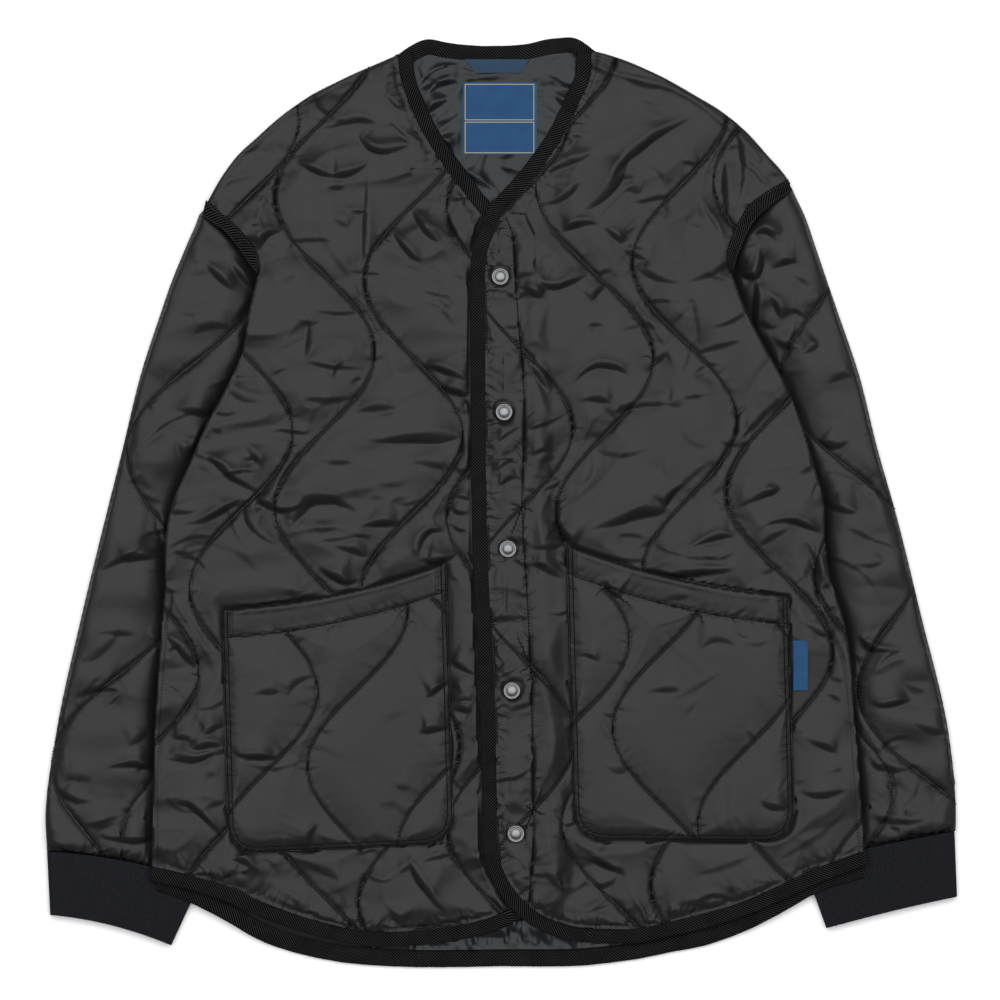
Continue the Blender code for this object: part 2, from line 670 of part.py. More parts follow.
def make_sleeve(side):
    cut = on_side(sleeve_outline(side), side)
    waves = [wave(line, 300, -300) for line in SLEEVE_WAVES[side]]

    def top(points):
        swollen = swell(nearest(points, waves), SWELL_REACH)
        thick = SLEEVE_STITCHED + (SLEEVE_WALLS - SLEEVE_STITCHED) * swollen
        thick += (TUCKED_SLEEVE - thick) * over(points, TUCKS[side], 2, 22)
        return TUBE_MIDDLE + (thick - TUBE_MIDDLE) * rim(points, cut, 12)

    hem_in, hem_out, underarm, hidden = (
        np.array(place, float)
        for place in (CUFF_TOP_IN[side], CUFF_TOP_OUT[side], UNDERARM[side], HIDDEN_UNDERARM))
    ends = joined(straight(hem_in + (FOLD_MARGIN, -STEP), hem_out - (FOLD_MARGIN, STEP)),
                  inset(sleeve_fold(side), FOLD_MARGIN)[1:],
                  straight(SHOULDER_TIP[side], underarm + (-1.2 * STEP, STEP), hidden + (0, STEP)),
                  [hidden + (FOLD_MARGIN, 0)])
    lines = [part for line in waves for part in runs(line, ~inside(line, TUCKS[side]))]
    return make_tube("sleeve_" + side, cut, top, on_side(ends, side), SHELL,
                     lines=lines, bottom_rings=(TUBE_ROUND,))


def make_cuff(side):
    top_out, top_in, end_in, end_out = (
        np.array(table[side], float) for table in
        (CUFF_TOP_OUT, CUFF_TOP_IN, CUFF_END_IN, CUFF_END_OUT))
    seam = cuff_line(top_out, top_in, side) - (0, GAP)
    end = cuff_line(end_in, end_out, side)
    cut = on_side(joined(seam, straight(seam[-1], end_in)[1:-1], end,
                         straight(end_out, seam[0])[1:-1]), side)
    step = np.linalg.norm(end_out - end_in) / RIB_PITCH / 2
    starts = evenly(cuff_line(top_out, top_in, side), np.linalg.norm(top_out - top_in) / step)
    stops = evenly(end[::-1], RIB_PITCH / 2)
    ribs = [on_side([a, b], side) for a, b in list(zip(starts, stops))[3:-3]]

    def top(points):
        to_rib = np.array([distance(points, rib) for rib in ribs])
        ridge = np.where(to_rib.min(0) < RIB_PITCH / 4, 1 - 2.0 * (to_rib.argmin(0) % 2), 0)
        thick = CUFF_WALLS + (TUCKED_SLEEVE - CUFF_WALLS) * over(points, TUCKS[side], 1, 8)
        return TUBE_MIDDLE + (thick - TUBE_MIDDLE) * rim(points, cut, 7) + RIB_RISE * ridge

    margin = np.array([0.5 * FOLD_MARGIN, 0])
    down = end_in - top_in
    ends = straight(top_out - margin - 0.2 * down, top_in + margin - 0.2 * down,
                    end_in + margin + 0.2 * down, end_out - margin + 0.2 * down,
                    top_out - margin - 0.2 * down)
    return make_tube("cuff_" + side, cut, top, on_side(joined(ends[:-1]), side), RIB,
                     lines=ribs, grid=24, rings=(), bottom_rings=(TUBE_ROUND,))


# ------------------------------------------------------------------ what lies on the cloth
def make_tape(side, *under):
    """The twill tape over the armhole's seam, laid on both pieces that meet there."""
    seam = on_side(armhole(side), side) if side == "left" else armhole(side) * (-1, 1)
    seam = seam[::-SIDES[side]]
    seam = evenly(seam, 0.5 * STEP)
    cloth = tops(*under)
    across = np.linspace(-0.5, 0.5, 9) * TAPE_WIDTH
    heights = np.max([cloth(inset(seam, away)) for away in across], axis=0)
    heights = np.max([np.roll(heights, shift) for shift in (-1, 0, 1)], axis=0) + GAP
    edge = inset(seam, -0.5 * TAPE_WIDTH)
    section = [(0, 0), (0, TAPE_WALL), (TAPE_WIDTH, TAPE_WALL), (TAPE_WIDTH, 0)]
    band("armhole_tape_" + side, edge, lambda points: heights, section)


def make_tag(front):
    """The folded tag sewn into the left pocket's outer edge."""
    cloth = tops(front)
    make_flat("pocket_tag", patch(TAG_SIZE, TAG_MIDDLE),
              lambda p: level(p, cloth(p).max() + 2 * GAP), LABEL_WALL, WOVEN)


def make_snap(name, place, height):
    """A press snap's cap: a ring round a low dome, turned about its own axis."""
    outer, ring, dome = SNAP_RADIUS, 0.80 * SNAP_RADIUS, 0.72 * SNAP_RADIUS
    profile = [(0, SNAP_RISE), (0.5 * dome, 0.93 * SNAP_RISE), (dome, 0.66 * SNAP_RISE),
               (ring, 0.72 * SNAP_RISE), (outer, 0.35 * SNAP_RISE), (outer, 0), (0, 0)]
    mesh = bpy.data.meshes.new(name)
    mesh.from_pydata([(x * MM, 0, z * MM) for x, z in profile],
                     [(i, i + 1) for i in range(len(profile) - 1)], [])
    mesh.materials.append(METAL)
    cap = bpy.data.objects.new(name, mesh)
    cap.location = (place[0] * MM, place[1] * MM, height * MM)
    turned = cap.modifiers.new("turned", "SCREW")
    turned.steps = turned.render_steps = 20
    turned.use_merge_vertices = True
    turned.merge_threshold = 0.00005
    jacket.objects.link(cap)


# ------------------------------------------------------------------ the jacket
make_back()
make_neck()
fronts = {}
for side in SIDES:
    fronts[side] = make_front(side)
    make_pocket(side)
    make_tape(side, fronts[side], make_sleeve(side))
    make_cuff(side)
make_tag(fronts["left"])
cloth = tops(fronts["left"])
for number, spot in enumerate(SNAPS, 1):
    bed = max(cloth(spot + circle(radius)).max() for radius in (0, 0.5 * SNAP_RADIUS, SNAP_RADIUS))
    make_snap(f"snap_{number}", spot, bed + GAP)
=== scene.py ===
"""A quilted jacket laid flat on a pale table: the look of every piece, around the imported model.

Sizes are in millimetres and become metres when a mesh is made. +X is towards the wearer's left,
+Y towards the neck and +Z up. Each outline table gives distances outward from the centre line
("across") for the wearer's right and left halves, and the right one is turned over at the end.
"""

import math
from collections import namedtuple

import bpy
import numpy as np
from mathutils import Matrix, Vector
from mathutils.geometry import delaunay_2d_cdt


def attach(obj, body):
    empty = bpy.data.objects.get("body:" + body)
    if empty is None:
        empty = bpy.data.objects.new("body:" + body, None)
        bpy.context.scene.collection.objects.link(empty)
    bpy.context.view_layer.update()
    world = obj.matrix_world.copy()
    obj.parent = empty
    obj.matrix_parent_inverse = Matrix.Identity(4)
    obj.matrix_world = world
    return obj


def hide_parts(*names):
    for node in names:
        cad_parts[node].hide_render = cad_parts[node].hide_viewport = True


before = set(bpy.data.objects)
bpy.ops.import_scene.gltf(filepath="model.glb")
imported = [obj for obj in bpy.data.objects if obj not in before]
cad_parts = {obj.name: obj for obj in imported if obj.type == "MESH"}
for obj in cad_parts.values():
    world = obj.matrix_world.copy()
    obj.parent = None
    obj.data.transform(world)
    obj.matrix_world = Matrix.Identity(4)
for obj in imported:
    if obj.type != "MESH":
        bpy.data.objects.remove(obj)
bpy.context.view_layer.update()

# ---------------------------------------------------------------- table, light and camera
# The jacket lies on a pale matt table, with a broad soft light beyond its neck and an even one
# from all round, and is seen from straight above.
MM = 0.001
TABLE_SIZE, TABLE_LEVEL = 9000.0, -0.4
VIEW_WIDTH = 790.0
VIEW_CENTRE = (-1.6, 1.6)
VIEW_HEIGHT = 12.0            # the level at which the picture is as wide as VIEW_WIDTH
LENS, SENSOR = 250.0, 36.0
PANEL_PLACE, PANEL_SIZE, PANEL_POWER = (0.0, 0.85, 2.6), (4.6, 3.5), 160.0    # metres and watts
SKY_STRENGTH = 0.30
TABLE_COLOUR = (0.86, 0.86, 0.86)


def added(name, data, place=(0, 0, 0)):
    made = bpy.data.objects.new(name, data)
    made.location = place
    bpy.context.scene.collection.objects.link(made)
    return made


table_mesh = bpy.data.meshes.new("table")
half_table = TABLE_SIZE * MM / 2
table_mesh.from_pydata([(x * half_table, y * half_table, TABLE_LEVEL * MM) for x, y in
                        ((-1, -1), (1, -1), (1, 1), (-1, 1))], [], [(0, 1, 2, 3)])
table = added("table", table_mesh)


def maths(operation, turned=False):
    """A method that adds a Math node, with the signal first, or last if turned."""
    def method(self, *others):
        values = (*others, self) if turned else (self, *others)
        return self.finish.node("ShaderNodeMath", {"operation": operation}, values)
    return method


class Signal:
    """A socket's value. An operator on it adds a Math node to the same material."""

    def __init__(self, finish, socket):
        self.finish, self.socket = finish, socket

    __add__ = __radd__ = maths("ADD")
    __mul__ = __rmul__ = maths("MULTIPLY")
    __sub__, __rsub__ = maths("SUBTRACT"), maths("SUBTRACT", turned=True)
    __truediv__, __pow__ = maths("DIVIDE"), maths("POWER")
    over, most = maths("GREATER_THAN"), maths("MAXIMUM")
    sine, size = maths("SINE"), maths("ABSOLUTE")

    def stripes(self, pitch, phase=0):
        """From 0 to 1 and back once per pitch: half a sine and a half."""
        turn = self * (2 * math.pi / pitch)
        return (turn + phase if phase else turn).sine() * 0.5 + 0.5

    def fade(self, start, end):
        """1 up to start, easing to 0 at end."""
        return self.finish.node("ShaderNodeMapRange", {"interpolation_type": "SMOOTHSTEP"},
                                {"Value": self, "From Min": start, "From Max": end,
                                 "To Min": 1.0, "To Max": 0.0})


class Finish:
    """A material: one Principled shader, and the nodes that feed it."""

    def __init__(self, name, colour, roughness, **fixed):
        self.made = bpy.data.materials.new(name)
        self.made.use_nodes = True
        self.tree = self.made.node_tree
        self.shader = self.tree.nodes["Principled BSDF"]
        self.shader.inputs["Base Color"].default_value = (*colour, 1.0)
        self.shader.inputs["Roughness"].default_value = roughness
        for socket, value in fixed.items():
            self.shader.inputs[socket.replace("_", " ")].default_value = value

    def node(self, kind, settings=None, inputs=(), output=0):
        """Adds a node, makes its settings, then fills its sockets in order or by name."""
        node = self.tree.nodes.new(kind)
        for name, value in (settings or {}).items():
            setattr(node, name, value)
        named = list(inputs.items()) if isinstance(inputs, dict) else enumerate(inputs)
        for name, value in named:
            if isinstance(value, Signal):
                self.tree.links.new(value.socket, node.inputs[name])
            else:
                node.inputs[name].default_value = value
        return Signal(self, node.outputs[output])

    def feed(self, socket, signal):
        self.tree.links.new(signal.socket, self.shader.inputs[socket])

    def place(self, turn=0.0):
        """The piece's own coordinates in metres, turned about +Z."""
        at = self.node("ShaderNodeTexCoord", output="Object")
        return self.node("ShaderNodeMapping", inputs={"Vector": at, "Rotation": (0, 0, turn)})

    def parts(self, vector):
        first = self.node("ShaderNodeSeparateXYZ", inputs=[vector])
        return [Signal(self, socket) for socket in first.socket.node.outputs]

    def cut(self):
        """Along and across a piece that was swept along a path, in metres."""
        return self.parts(self.node("ShaderNodeUVMap", {"uv_map": "cut"}))[:2]

    def marks(self, name):
        """Three numbers that a mesh has for each of its points, in millimetres."""
        at = self.node("ShaderNodeAttribute", {"attribute_name": name}, output="Vector")
        return self.parts(at)

    def noise(self, scale, detail=2.0, at=None, distortion=0.0):
        return self.node("ShaderNodeTexNoise", {}, {"Vector": at or self.place(), "Scale": scale,
                                                    "Detail": detail, "Distortion": distortion})

    def mix(self, amount, first, second):
        return self.node("ShaderNodeMix", {"data_type": "RGBA"}, {0: amount, 6: first, 7: second},
                         output=2)

    def tones(self, colour, amount, low, high):
        """A colour, from low to high times itself as amount goes from 0 to 1."""
        dark, light = ([level * part for part in colour] + [1.0] for level in (low, high))
        return self.mix(amount, dark, light)

    def shade(self, *tones):
        self.feed("Base Color", self.tones(*tones))

    def bump(self, height, depth, strength=1.0):
        """Relief from a height of 0 to 1, depth millimetres deep."""
        self.feed("Normal", self.node("ShaderNodeBump", inputs={
            "Strength": strength, "Distance": depth * MM, "Height": height}))


paper = Finish("pale table", TABLE_COLOUR, 0.95, Specular_IOR_Level=0.1)
grain = paper.noise(160.0, 3.0)
paper.shade(TABLE_COLOUR, grain, 0.985, 1.015)
table_mesh.materials.append(paper.made)

sky = bpy.data.worlds.new("even light")
sky.use_nodes = True
sky.node_tree.nodes["Background"].inputs["Color"].default_value = (1.0, 1.0, 1.0, 1.0)
sky.node_tree.nodes["Background"].inputs["Strength"].default_value = SKY_STRENGTH
bpy.context.scene.world = sky
bpy.context.scene.view_settings.view_transform = "Standard"

light = bpy.data.lights.new("ceiling panel", "AREA")
light.shape = "RECTANGLE"
light.size, light.size_y = PANEL_SIZE
light.energy = PANEL_POWER
added("ceiling panel", light, PANEL_PLACE)

seen = bpy.data.cameras.new("camera")
seen.lens = LENS
seen.sensor_width = SENSOR
seen.clip_end = 100.0
bpy.context.scene.camera = added("camera", seen, (
    VIEW_CENTRE[0] * MM, VIEW_CENTRE[1] * MM, (VIEW_HEIGHT + VIEW_WIDTH * LENS / SENSOR) * MM))

# ---------------------------------------------------------------- back panel
# The back is one panel of nylon, wadding and lining, quilted with waves that run down it. The
# jacket lies on it, so its underside is flat but for the stitched channels.
GAP = 0.3
BACK_WALL = 5.0
BINDING_WIDTH = 13.5
BINDING_WALL = 3.6
LINING_BED = BACK_WALL + GAP
LINING_WALL = 1.0
FRONT_BED = LINING_BED + LINING_WALL + GAP
STITCHED_WALL = 2.4
THINNEST = 0.8                 # the least that a cloth keeps above its bed
NEAR_SEAM = 9.0                # how far a seam's gathers reach
PRESSED_WALL = 3.0
SWOLLEN_WALL = 7.6
TUCKED_SLEEVE = 5.0
BODY_RISE = TUCKED_SLEEVE + 2 * GAP
SIDES = {"right": -1, "left": 1}
Level = namedtuple("Level", "height right left")
Station = namedtuple("Station", "across right left")


def listed(kind, *rows):
    return [kind(*row) for row in rows]


SIDE_FOLDS = listed(Level,
    (183, 192, 181), (150, 200, 193), (120, 205, 209), (90, 218, 225), (60, 234, 237),
    (30, 247, 246), (0, 260, 254), (-30, 266, 255), (-60, 266, 259), (-90, 268, 269),
    (-180, 274, 279), (-298, 276, 287))
SHOULDERS = listed(Station,
    (74, 357, 356), (90, 350, 351.5), (110, 341.5, 343.5), (130, 332, 334), (153, 320, 321),
    (175, 304.5, 307.5), (194, 287.5, 291.5), (210, 272.5, 273.5), (222, 256, 260), (235, 233, 241))
BACK_HEM = listed(Station,
    (0, -367.5, -367.5), (67, -368, -366.5), (105, -366.5, -362), (135, -363, -356),
    (160, -357.5, -351), (190, -347.5, -340.5), (220, -330.5, -325.5), (245, -317.5, -311),
    (287, -303, -297))
BACK_NECK = listed(Station,
    (0, 361, 361), (16, 361, 362), (43, 363.5, 367), (60, 366, 366.5), (74, 360, 356.5),
    (84, 352.5, 350))
SHOULDER_TIP = {"right": (235.5, 233), "left": (228, 251)}
ARMHOLE_BOW = {"right": (200, 199), "left": (186, 226)}
UNDERARM = {"right": (192, 183), "left": (181, 182)}
HIDDEN_UNDERARM = (176, 84)
CUFF_TOP_IN = {"right": (238, -299), "left": (238, -285)}
CUFF_TOP_OUT = {"right": (360, -276), "left": (358, -260)}
CUFF_END_OUT = {"right": (357.5, -326.5), "left": (360, -312)}
CUFF_END_IN = {"right": (261.5, -350.5), "left": (256.5, -337)}
WAVE_LENGTH = 246.0
WAVE_SWING = 39.5
Wave = namedtuple("Wave", "x bulge lean pull", defaults=(0,))    # see wave()
BODY_WAVES = {
    "right": [Wave(-4, 233, 0), Wave(-71, 175, 0.01), Wave(-140, 241, 0), Wave(-206, 178, 0.02),
              Wave(-279, 235, 0)],
    "left": [Wave(17, 182, -0.01), Wave(82, 237, -0.02, 23), Wave(148, 188, -0.03),
             Wave(217, 252, -0.04), Wave(284, 188, -0.04)],
}


def through(rows, key, column, at):
    """A table's column as a smooth curve: a cubic from row to row, with the mean slope at each."""
    rows = sorted(rows, key=lambda row: getattr(row, key))
    keys = np.array([getattr(row, key) for row in rows], float)
    values = np.array([getattr(row, column) for row in rows], float)
    slopes = np.gradient(values, keys)
    row = np.clip(np.searchsorted(keys, at) - 1, 0, len(keys) - 2)
    span = keys[row + 1] - keys[row]
    t = np.clip((at - keys[row]) / span, 0, 1)
    ends = (1 + 2 * t) * (1 - t) ** 2 * values[row] + t * t * (3 - 2 * t) * values[row + 1]
    bows = t * (1 - t) ** 2 * slopes[row] - t * t * (1 - t) * slopes[row + 1]
    return ends + span * bows


def distance_run(path):
    """How far along a path each of its points is: the steps' lengths added up."""
    return np.append(0, np.cumsum(np.linalg.norm(np.diff(path, axis=0), axis=1)))


def way_ahead(path):
    """A path's direction at each point: the slope between its neighbours, of length 1."""
    ahead = np.gradient(path, axis=0)
    ahead /= np.linalg.norm(ahead, axis=1, keepdims=True)
    return ahead


def read_off(at, run, path):
    """A path's columns at some places, on straight lines between its points."""
    return np.column_stack([np.interp(at, run, column) for column in path.T])


def evenly(path, step=2.0):
    """The same path with points at equal steps: each coordinate read off the distance run."""
    path = np.asarray(path, float)
    run = distance_run(path)
    return read_off(np.linspace(0, run[-1], max(2, round(run[-1] / step) + 1)), run, path)


def rounded(path, step=2.0):
    """A path's corners made smooth: a cubic through its points, each coordinate over the run."""
    path = np.asarray(path, float)
    run = distance_run(path)
    rows = listed(namedtuple("Row", "run x y"), *np.column_stack([run, path[:, :2]]))
    at = np.linspace(0, run[-1], max(2, round(run[-1] / step) + 1))
    return np.column_stack([through(rows, "run", "x", at), through(rows, "run", "y", at)])


def to_left(path):
    """The direction to the left of the way that a path runs, at each point."""
    return way_ahead(path)[:, ::-1] * (-1, 1)


def inset(path, distance):
    return path + distance * to_left(path)


def closed(path):
    return np.vstack([path, path[:1]])


def joined(*paths):
    """Paths end to end as one closed outline, without points that meet."""
    points = np.vstack(paths)
    step = np.linalg.norm(points - np.roll(points, 1, axis=0), axis=1)
    return points[step > 0.05]


def bowed(start, control, end, step=2.0):
    """A curve from start to end that leans towards control: a parabola's arc."""
    t = np.linspace(0, 1, 24)[:, None]
    start, control, end = (np.array(point, float) for point in (start, control, end))
    return evenly((1 - t) ** 2 * start + 2 * t * (1 - t) * control + t * t * end, step)


def arc(turn):
    """Points on a circle of radius 1, at some angles."""
    return np.column_stack([np.cos(turn), np.sin(turn)])


def straight(*corners):
    return evenly(np.array(corners, float))


def rectangle(middle, size):
    turns = np.array([(-1, -1), (1, -1), (1, 1), (-1, 1), (-1, -1)])
    return straight(*(np.array(middle) + 0.5 * np.array(size) * turns))[:-1]


def on_side(points, side):
    """Points drawn across and up, set on the wearer's right or left, still anticlockwise."""
    points = np.asarray(points, float) * (SIDES[side], 1)
    return points[::SIDES[side]]


def eased(t):
    """0 to 1 with level ends: 3t^2 - 2t^3."""
    t = np.clip(t, 0, 1)
    return t * t * (3 - 2 * t)


def swell(t):
    """A quarter round: the square root of 1 - (1 - t)^2."""
    return np.sqrt(1 - (1 - np.clip(t, 0, 1)) ** 2)


def bell(away, width):
    """1 at 0 and falling to both sides: exp(-(away / width)^2)."""
    return np.exp(-((away / width) ** 2))


def climbing(away, reach):
    """From 0 to 1 over a reach, steeper at first: 2t - t^2."""
    return 1 - (1 - np.clip(away / reach, 0, 1)) ** 2


def wave(middle, top=360.0, bottom=-380.0):
    """A quilting line: x swings round a middle line that starts at x and leans by lean per height,
    to -X at the bulge's height, and the neck draws it to -X by pull. A third column says how
    steeply it runs, from 0 to 1."""
    heights = np.arange(top, bottom, -1.0)
    turn = 2 * math.pi * (heights - middle.bulge) / WAVE_LENGTH
    across = middle.x + middle.lean * heights - middle.pull * eased((heights - 185) / 120)
    return np.column_stack([across - WAVE_SWING * np.cos(turn), heights, np.abs(np.sin(turn))])


def table_line(rows, side, at):
    """A table's line on one side, at some heights or distances across."""
    key = rows[0]._fields[0]
    line = np.column_stack([at, through(rows, key, side, at)])
    return line if key == "across" else line[:, ::-1]


def side_fold(side, start=SIDE_FOLDS[-1].height):
    return evenly(table_line(SIDE_FOLDS, side, np.arange(start, UNDERARM[side][1] + 0.5, 2.0)))


def armhole(side):
    return bowed(UNDERARM[side], ARMHOLE_BOW[side], SHOULDER_TIP[side])


def shoulder(side, end):
    return evenly(table_line(SHOULDERS, side, np.arange(SHOULDER_TIP[side][0], end, -2.0)))


def back_hem(side):
    return evenly(table_line(BACK_HEM, side, np.arange(0, getattr(SIDE_FOLDS[-1], side), 2.0)))


def back_neck(side):
    return evenly(table_line(BACK_NECK, side, np.arange(0, 85.0, 2.0)))


def across_both(half):
    """A line for both halves, from the wearer's right to the left."""
    right = half("right") * (-1, 1)
    return np.vstack([right[:0:-1], half("left")])


def back_outline(trim):
    hem = inset(across_both(back_hem), trim)
    neck = inset(across_both(back_neck)[::-1], trim)
    left, right = (
        joined(side_fold(side, end[1] + 1), armhole(side), shoulder(side, 85))
        for side, end in (("left", hem[-1]), ("right", hem[0]))
    )
    return joined(hem, left, neck, right[::-1] * (-1, 1))


def tucked(side):
    """Where the body lies over the sleeve and the cuff."""
    fold = side_fold(side)
    below = straight(CUFF_END_IN[side], (290, CUFF_END_IN[side][1]), fold[0])
    return on_side(joined(fold, straight(UNDERARM[side], HIDDEN_UNDERARM, CUFF_TOP_IN[side],
                                         CUFF_END_IN[side]), below), side)


class Grid:
    """Square nodes over a region. Fields over it are arrays with a row for each y."""

    def __init__(self, outline, pitch):
        low, high = outline.min(0) - 2.5 * pitch, outline.max(0) + 2.5 * pitch
        self.pitch = pitch
        self.xs, self.ys = np.arange(low[0], high[0], pitch), np.arange(low[1], high[1], pitch)
        self.x, self.y = np.meshgrid(self.xs, self.ys)

    def nearest(self, lines):
        """Each node's distance to the closest sample of some lines, and that sample: samples are
        dropped into the grid, nodes hand them on to others 64, 32 ... 1 away, and each then slides
        to the best along the line."""
        spots = np.vstack([evenly(line, 0.25 * self.pitch) for line in lines])
        rows, columns = self.x.shape
        row = np.rint((spots[:, 1] - self.ys[0]) / self.pitch).astype(int)
        column = np.rint((spots[:, 0] - self.xs[0]) / self.pitch).astype(int)
        within = (row >= 0) & (row < rows) & (column >= 0) & (column < columns)
        best = np.full(self.x.shape, -1)
        best[row[within], column[within]] = np.flatnonzero(within)

        def away(sample):
            far = np.hypot(spots[sample, 0] - self.x, spots[sample, 1] - self.y)
            return np.where(sample < 0, 1e6, far)

        least = away(best)
        for hop in (64, 32, 16, 8, 4, 2, 1, 1):
            padded = np.pad(best, hop, constant_values=-1)
            for down in (0, hop, 2 * hop):
                for along in (0, hop, 2 * hop):
                    other = padded[down:down + rows, along:along + columns]
                    far = away(other)
                    best = np.where(far < least, other, best)
                    least = np.minimum(far, least)
        for slide in range(-6, 7):
            other = np.clip(best + slide, 0, len(spots) - 1)
            far = np.where(best < 0, 1e6, away(other))
            best = np.where(far < least, other, best)
            least = np.minimum(far, least)
        return least, *(spots[best, column] for column in range(spots.shape[1]))

    def inside(self, outline):
        """Whether each node has an odd number of the outline's crossings to its right."""
        a, b = outline, np.roll(outline, -1, axis=0)
        heights = self.ys
        row, edge = np.nonzero((a[:, 1] > heights[:, None]) != (b[:, 1] > heights[:, None]))
        t = (heights[row] - a[edge, 1]) / (b[edge, 1] - a[edge, 1])
        crossing = a[edge, 0] + t * (b[edge, 0] - a[edge, 0])
        column = np.floor((crossing - self.xs[0]) / self.pitch).astype(int)
        within = column >= 0
        tally = np.zeros(self.x.shape)
        np.add.at(tally, (row[within], np.minimum(column[within], self.x.shape[1] - 1)), 1)
        return np.cumsum(tally[:, ::-1], axis=1)[:, ::-1] % 2 == 1

    def window(self, low, high):
        """The rows and columns between two corners, as slices."""
        return tuple(slice(*np.searchsorted(places, ends)) for places, ends in
                     ((self.ys, (low[1], high[1])), (self.xs, (low[0], high[0]))))

    def spots(self):
        return np.column_stack([self.x.ravel(), self.y.ravel()])

    def over(self, outline, shelf, reach):
        """1 on a flat piece and for a shelf round it, easing to 0 at reach beyond that."""
        away = self.nearest([closed(outline)])[0]
        return eased(1 - (np.where(self.inside(outline), 0, away) - shelf) / reach)

    def fit(self, outline, seams, rims=()):
        """Moves nodes that are near the outline or a seam onto it, and keeps what is inside. Marks
        each node with its distance from the nearest seam (to its left, then to either side) and
        that seam's run, and with the seam's steepness and the nearest rim's distance and run."""
        away, x, y = self.nearest([closed(outline)])
        self.edge = away
        on_edge = away < 0.5 * self.pitch
        self.keep = self.inside(outline) | on_edge
        self.x, self.y, held = np.where(on_edge, x, self.x), np.where(on_edge, y, self.y), on_edge
        self.seam, left, run = (np.full(self.x.shape, 999.0) for _ in range(3))
        self.steep, to_rim, rim_run = np.zeros(self.x.shape), self.seam, run
        if len(seams):
            found = self.nearest([sewn(seam) for seam in seams])
            _, x, y, self.steep, run, ahead_x, ahead_y = found
            on_seam = (np.hypot(self.x - x, self.y - y) < 0.5 * self.pitch) & ~on_edge & self.keep
            self.x, self.y = np.where(on_seam, x, self.x), np.where(on_seam, y, self.y)
            self.seam = np.hypot(self.x - x, self.y - y)
            left = ahead_x * (self.y - y) - ahead_y * (self.x - x)
            held = held | on_seam
        if len(rims):
            _, x, y, _, rim_run, _, _ = self.nearest([sewn(rim) for rim in rims])
            to_rim = np.hypot(self.x - x, self.y - y)
        self.held = held
        self.marks = {"seam": (left, self.seam, run), "rim": (self.steep, to_rim, rim_run)}
        return self


def sewn(line):
    """A seam's points, each with its steepness, its distance from the start and the way ahead."""
    steep = line[:, 2] if line.shape[1] > 2 else np.zeros(len(line))
    flat = line[:, :2]
    return np.column_stack([flat, steep, distance_run(flat), way_ahead(flat)])


def put(name, verts, faces, finish):
    """Millimetre points as a metre mesh with a finish."""
    mesh = bpy.data.meshes.new(name)
    mesh.from_pydata(np.asarray(verts) * MM, [], faces)
    mesh.materials.append(finish.made)
    mesh.shade_smooth()
    mesh.set_sharp_from_angle(angle=math.radians(75))
    return added(name, mesh)


def cells(keep):
    """The cells among kept nodes, numbered row by row: squares, then triangles at the outline, and
    the rim's edges in the way that they run."""
    number = np.where(keep, np.cumsum(keep).reshape(keep.shape) - 1, -1)
    corners = np.stack([number[:-1, :-1], number[:-1, 1:], number[1:, 1:], number[1:, :-1]], -1)
    corners = corners.reshape(-1, 4)
    kept = (corners >= 0).sum(1)
    quads, partial = corners[kept == 4], corners[kept == 3]
    after = ((partial < 0).argmax(1)[:, None] + (1, 2, 3)) % 4
    triangles = np.take_along_axis(partial, after, 1)
    ahead = np.vstack([face[:, (k, (k + 1) % face.shape[1])]
                       for face in (quads, triangles) for k in range(face.shape[1])])
    scale = number.max() + 1
    return number, quads, triangles, ahead[~np.isin(ahead @ (scale, 1), ahead @ (1, scale))]


def cavity(grid, low, high, margin, every):
    """The inside of a flattened tube: two flat faces and a rim, turned towards the hollow."""
    keep = grid.edge[::every, ::every] * grid.keep[::every, ::every] > margin
    _, quads, triangles, rim = cells(keep)
    flat = np.column_stack([field[::every, ::every][keep] for field in (grid.x, grid.y)])
    verts = np.vstack([np.insert(flat, 2, level, axis=1) for level in (high, low)])
    scale = len(flat)
    walls = np.column_stack([rim[:, 1] + scale, rim[:, 0] + scale, rim])
    return verts, [quads[:, ::-1], triangles[:, ::-1], quads + scale, triangles + scale, walls]


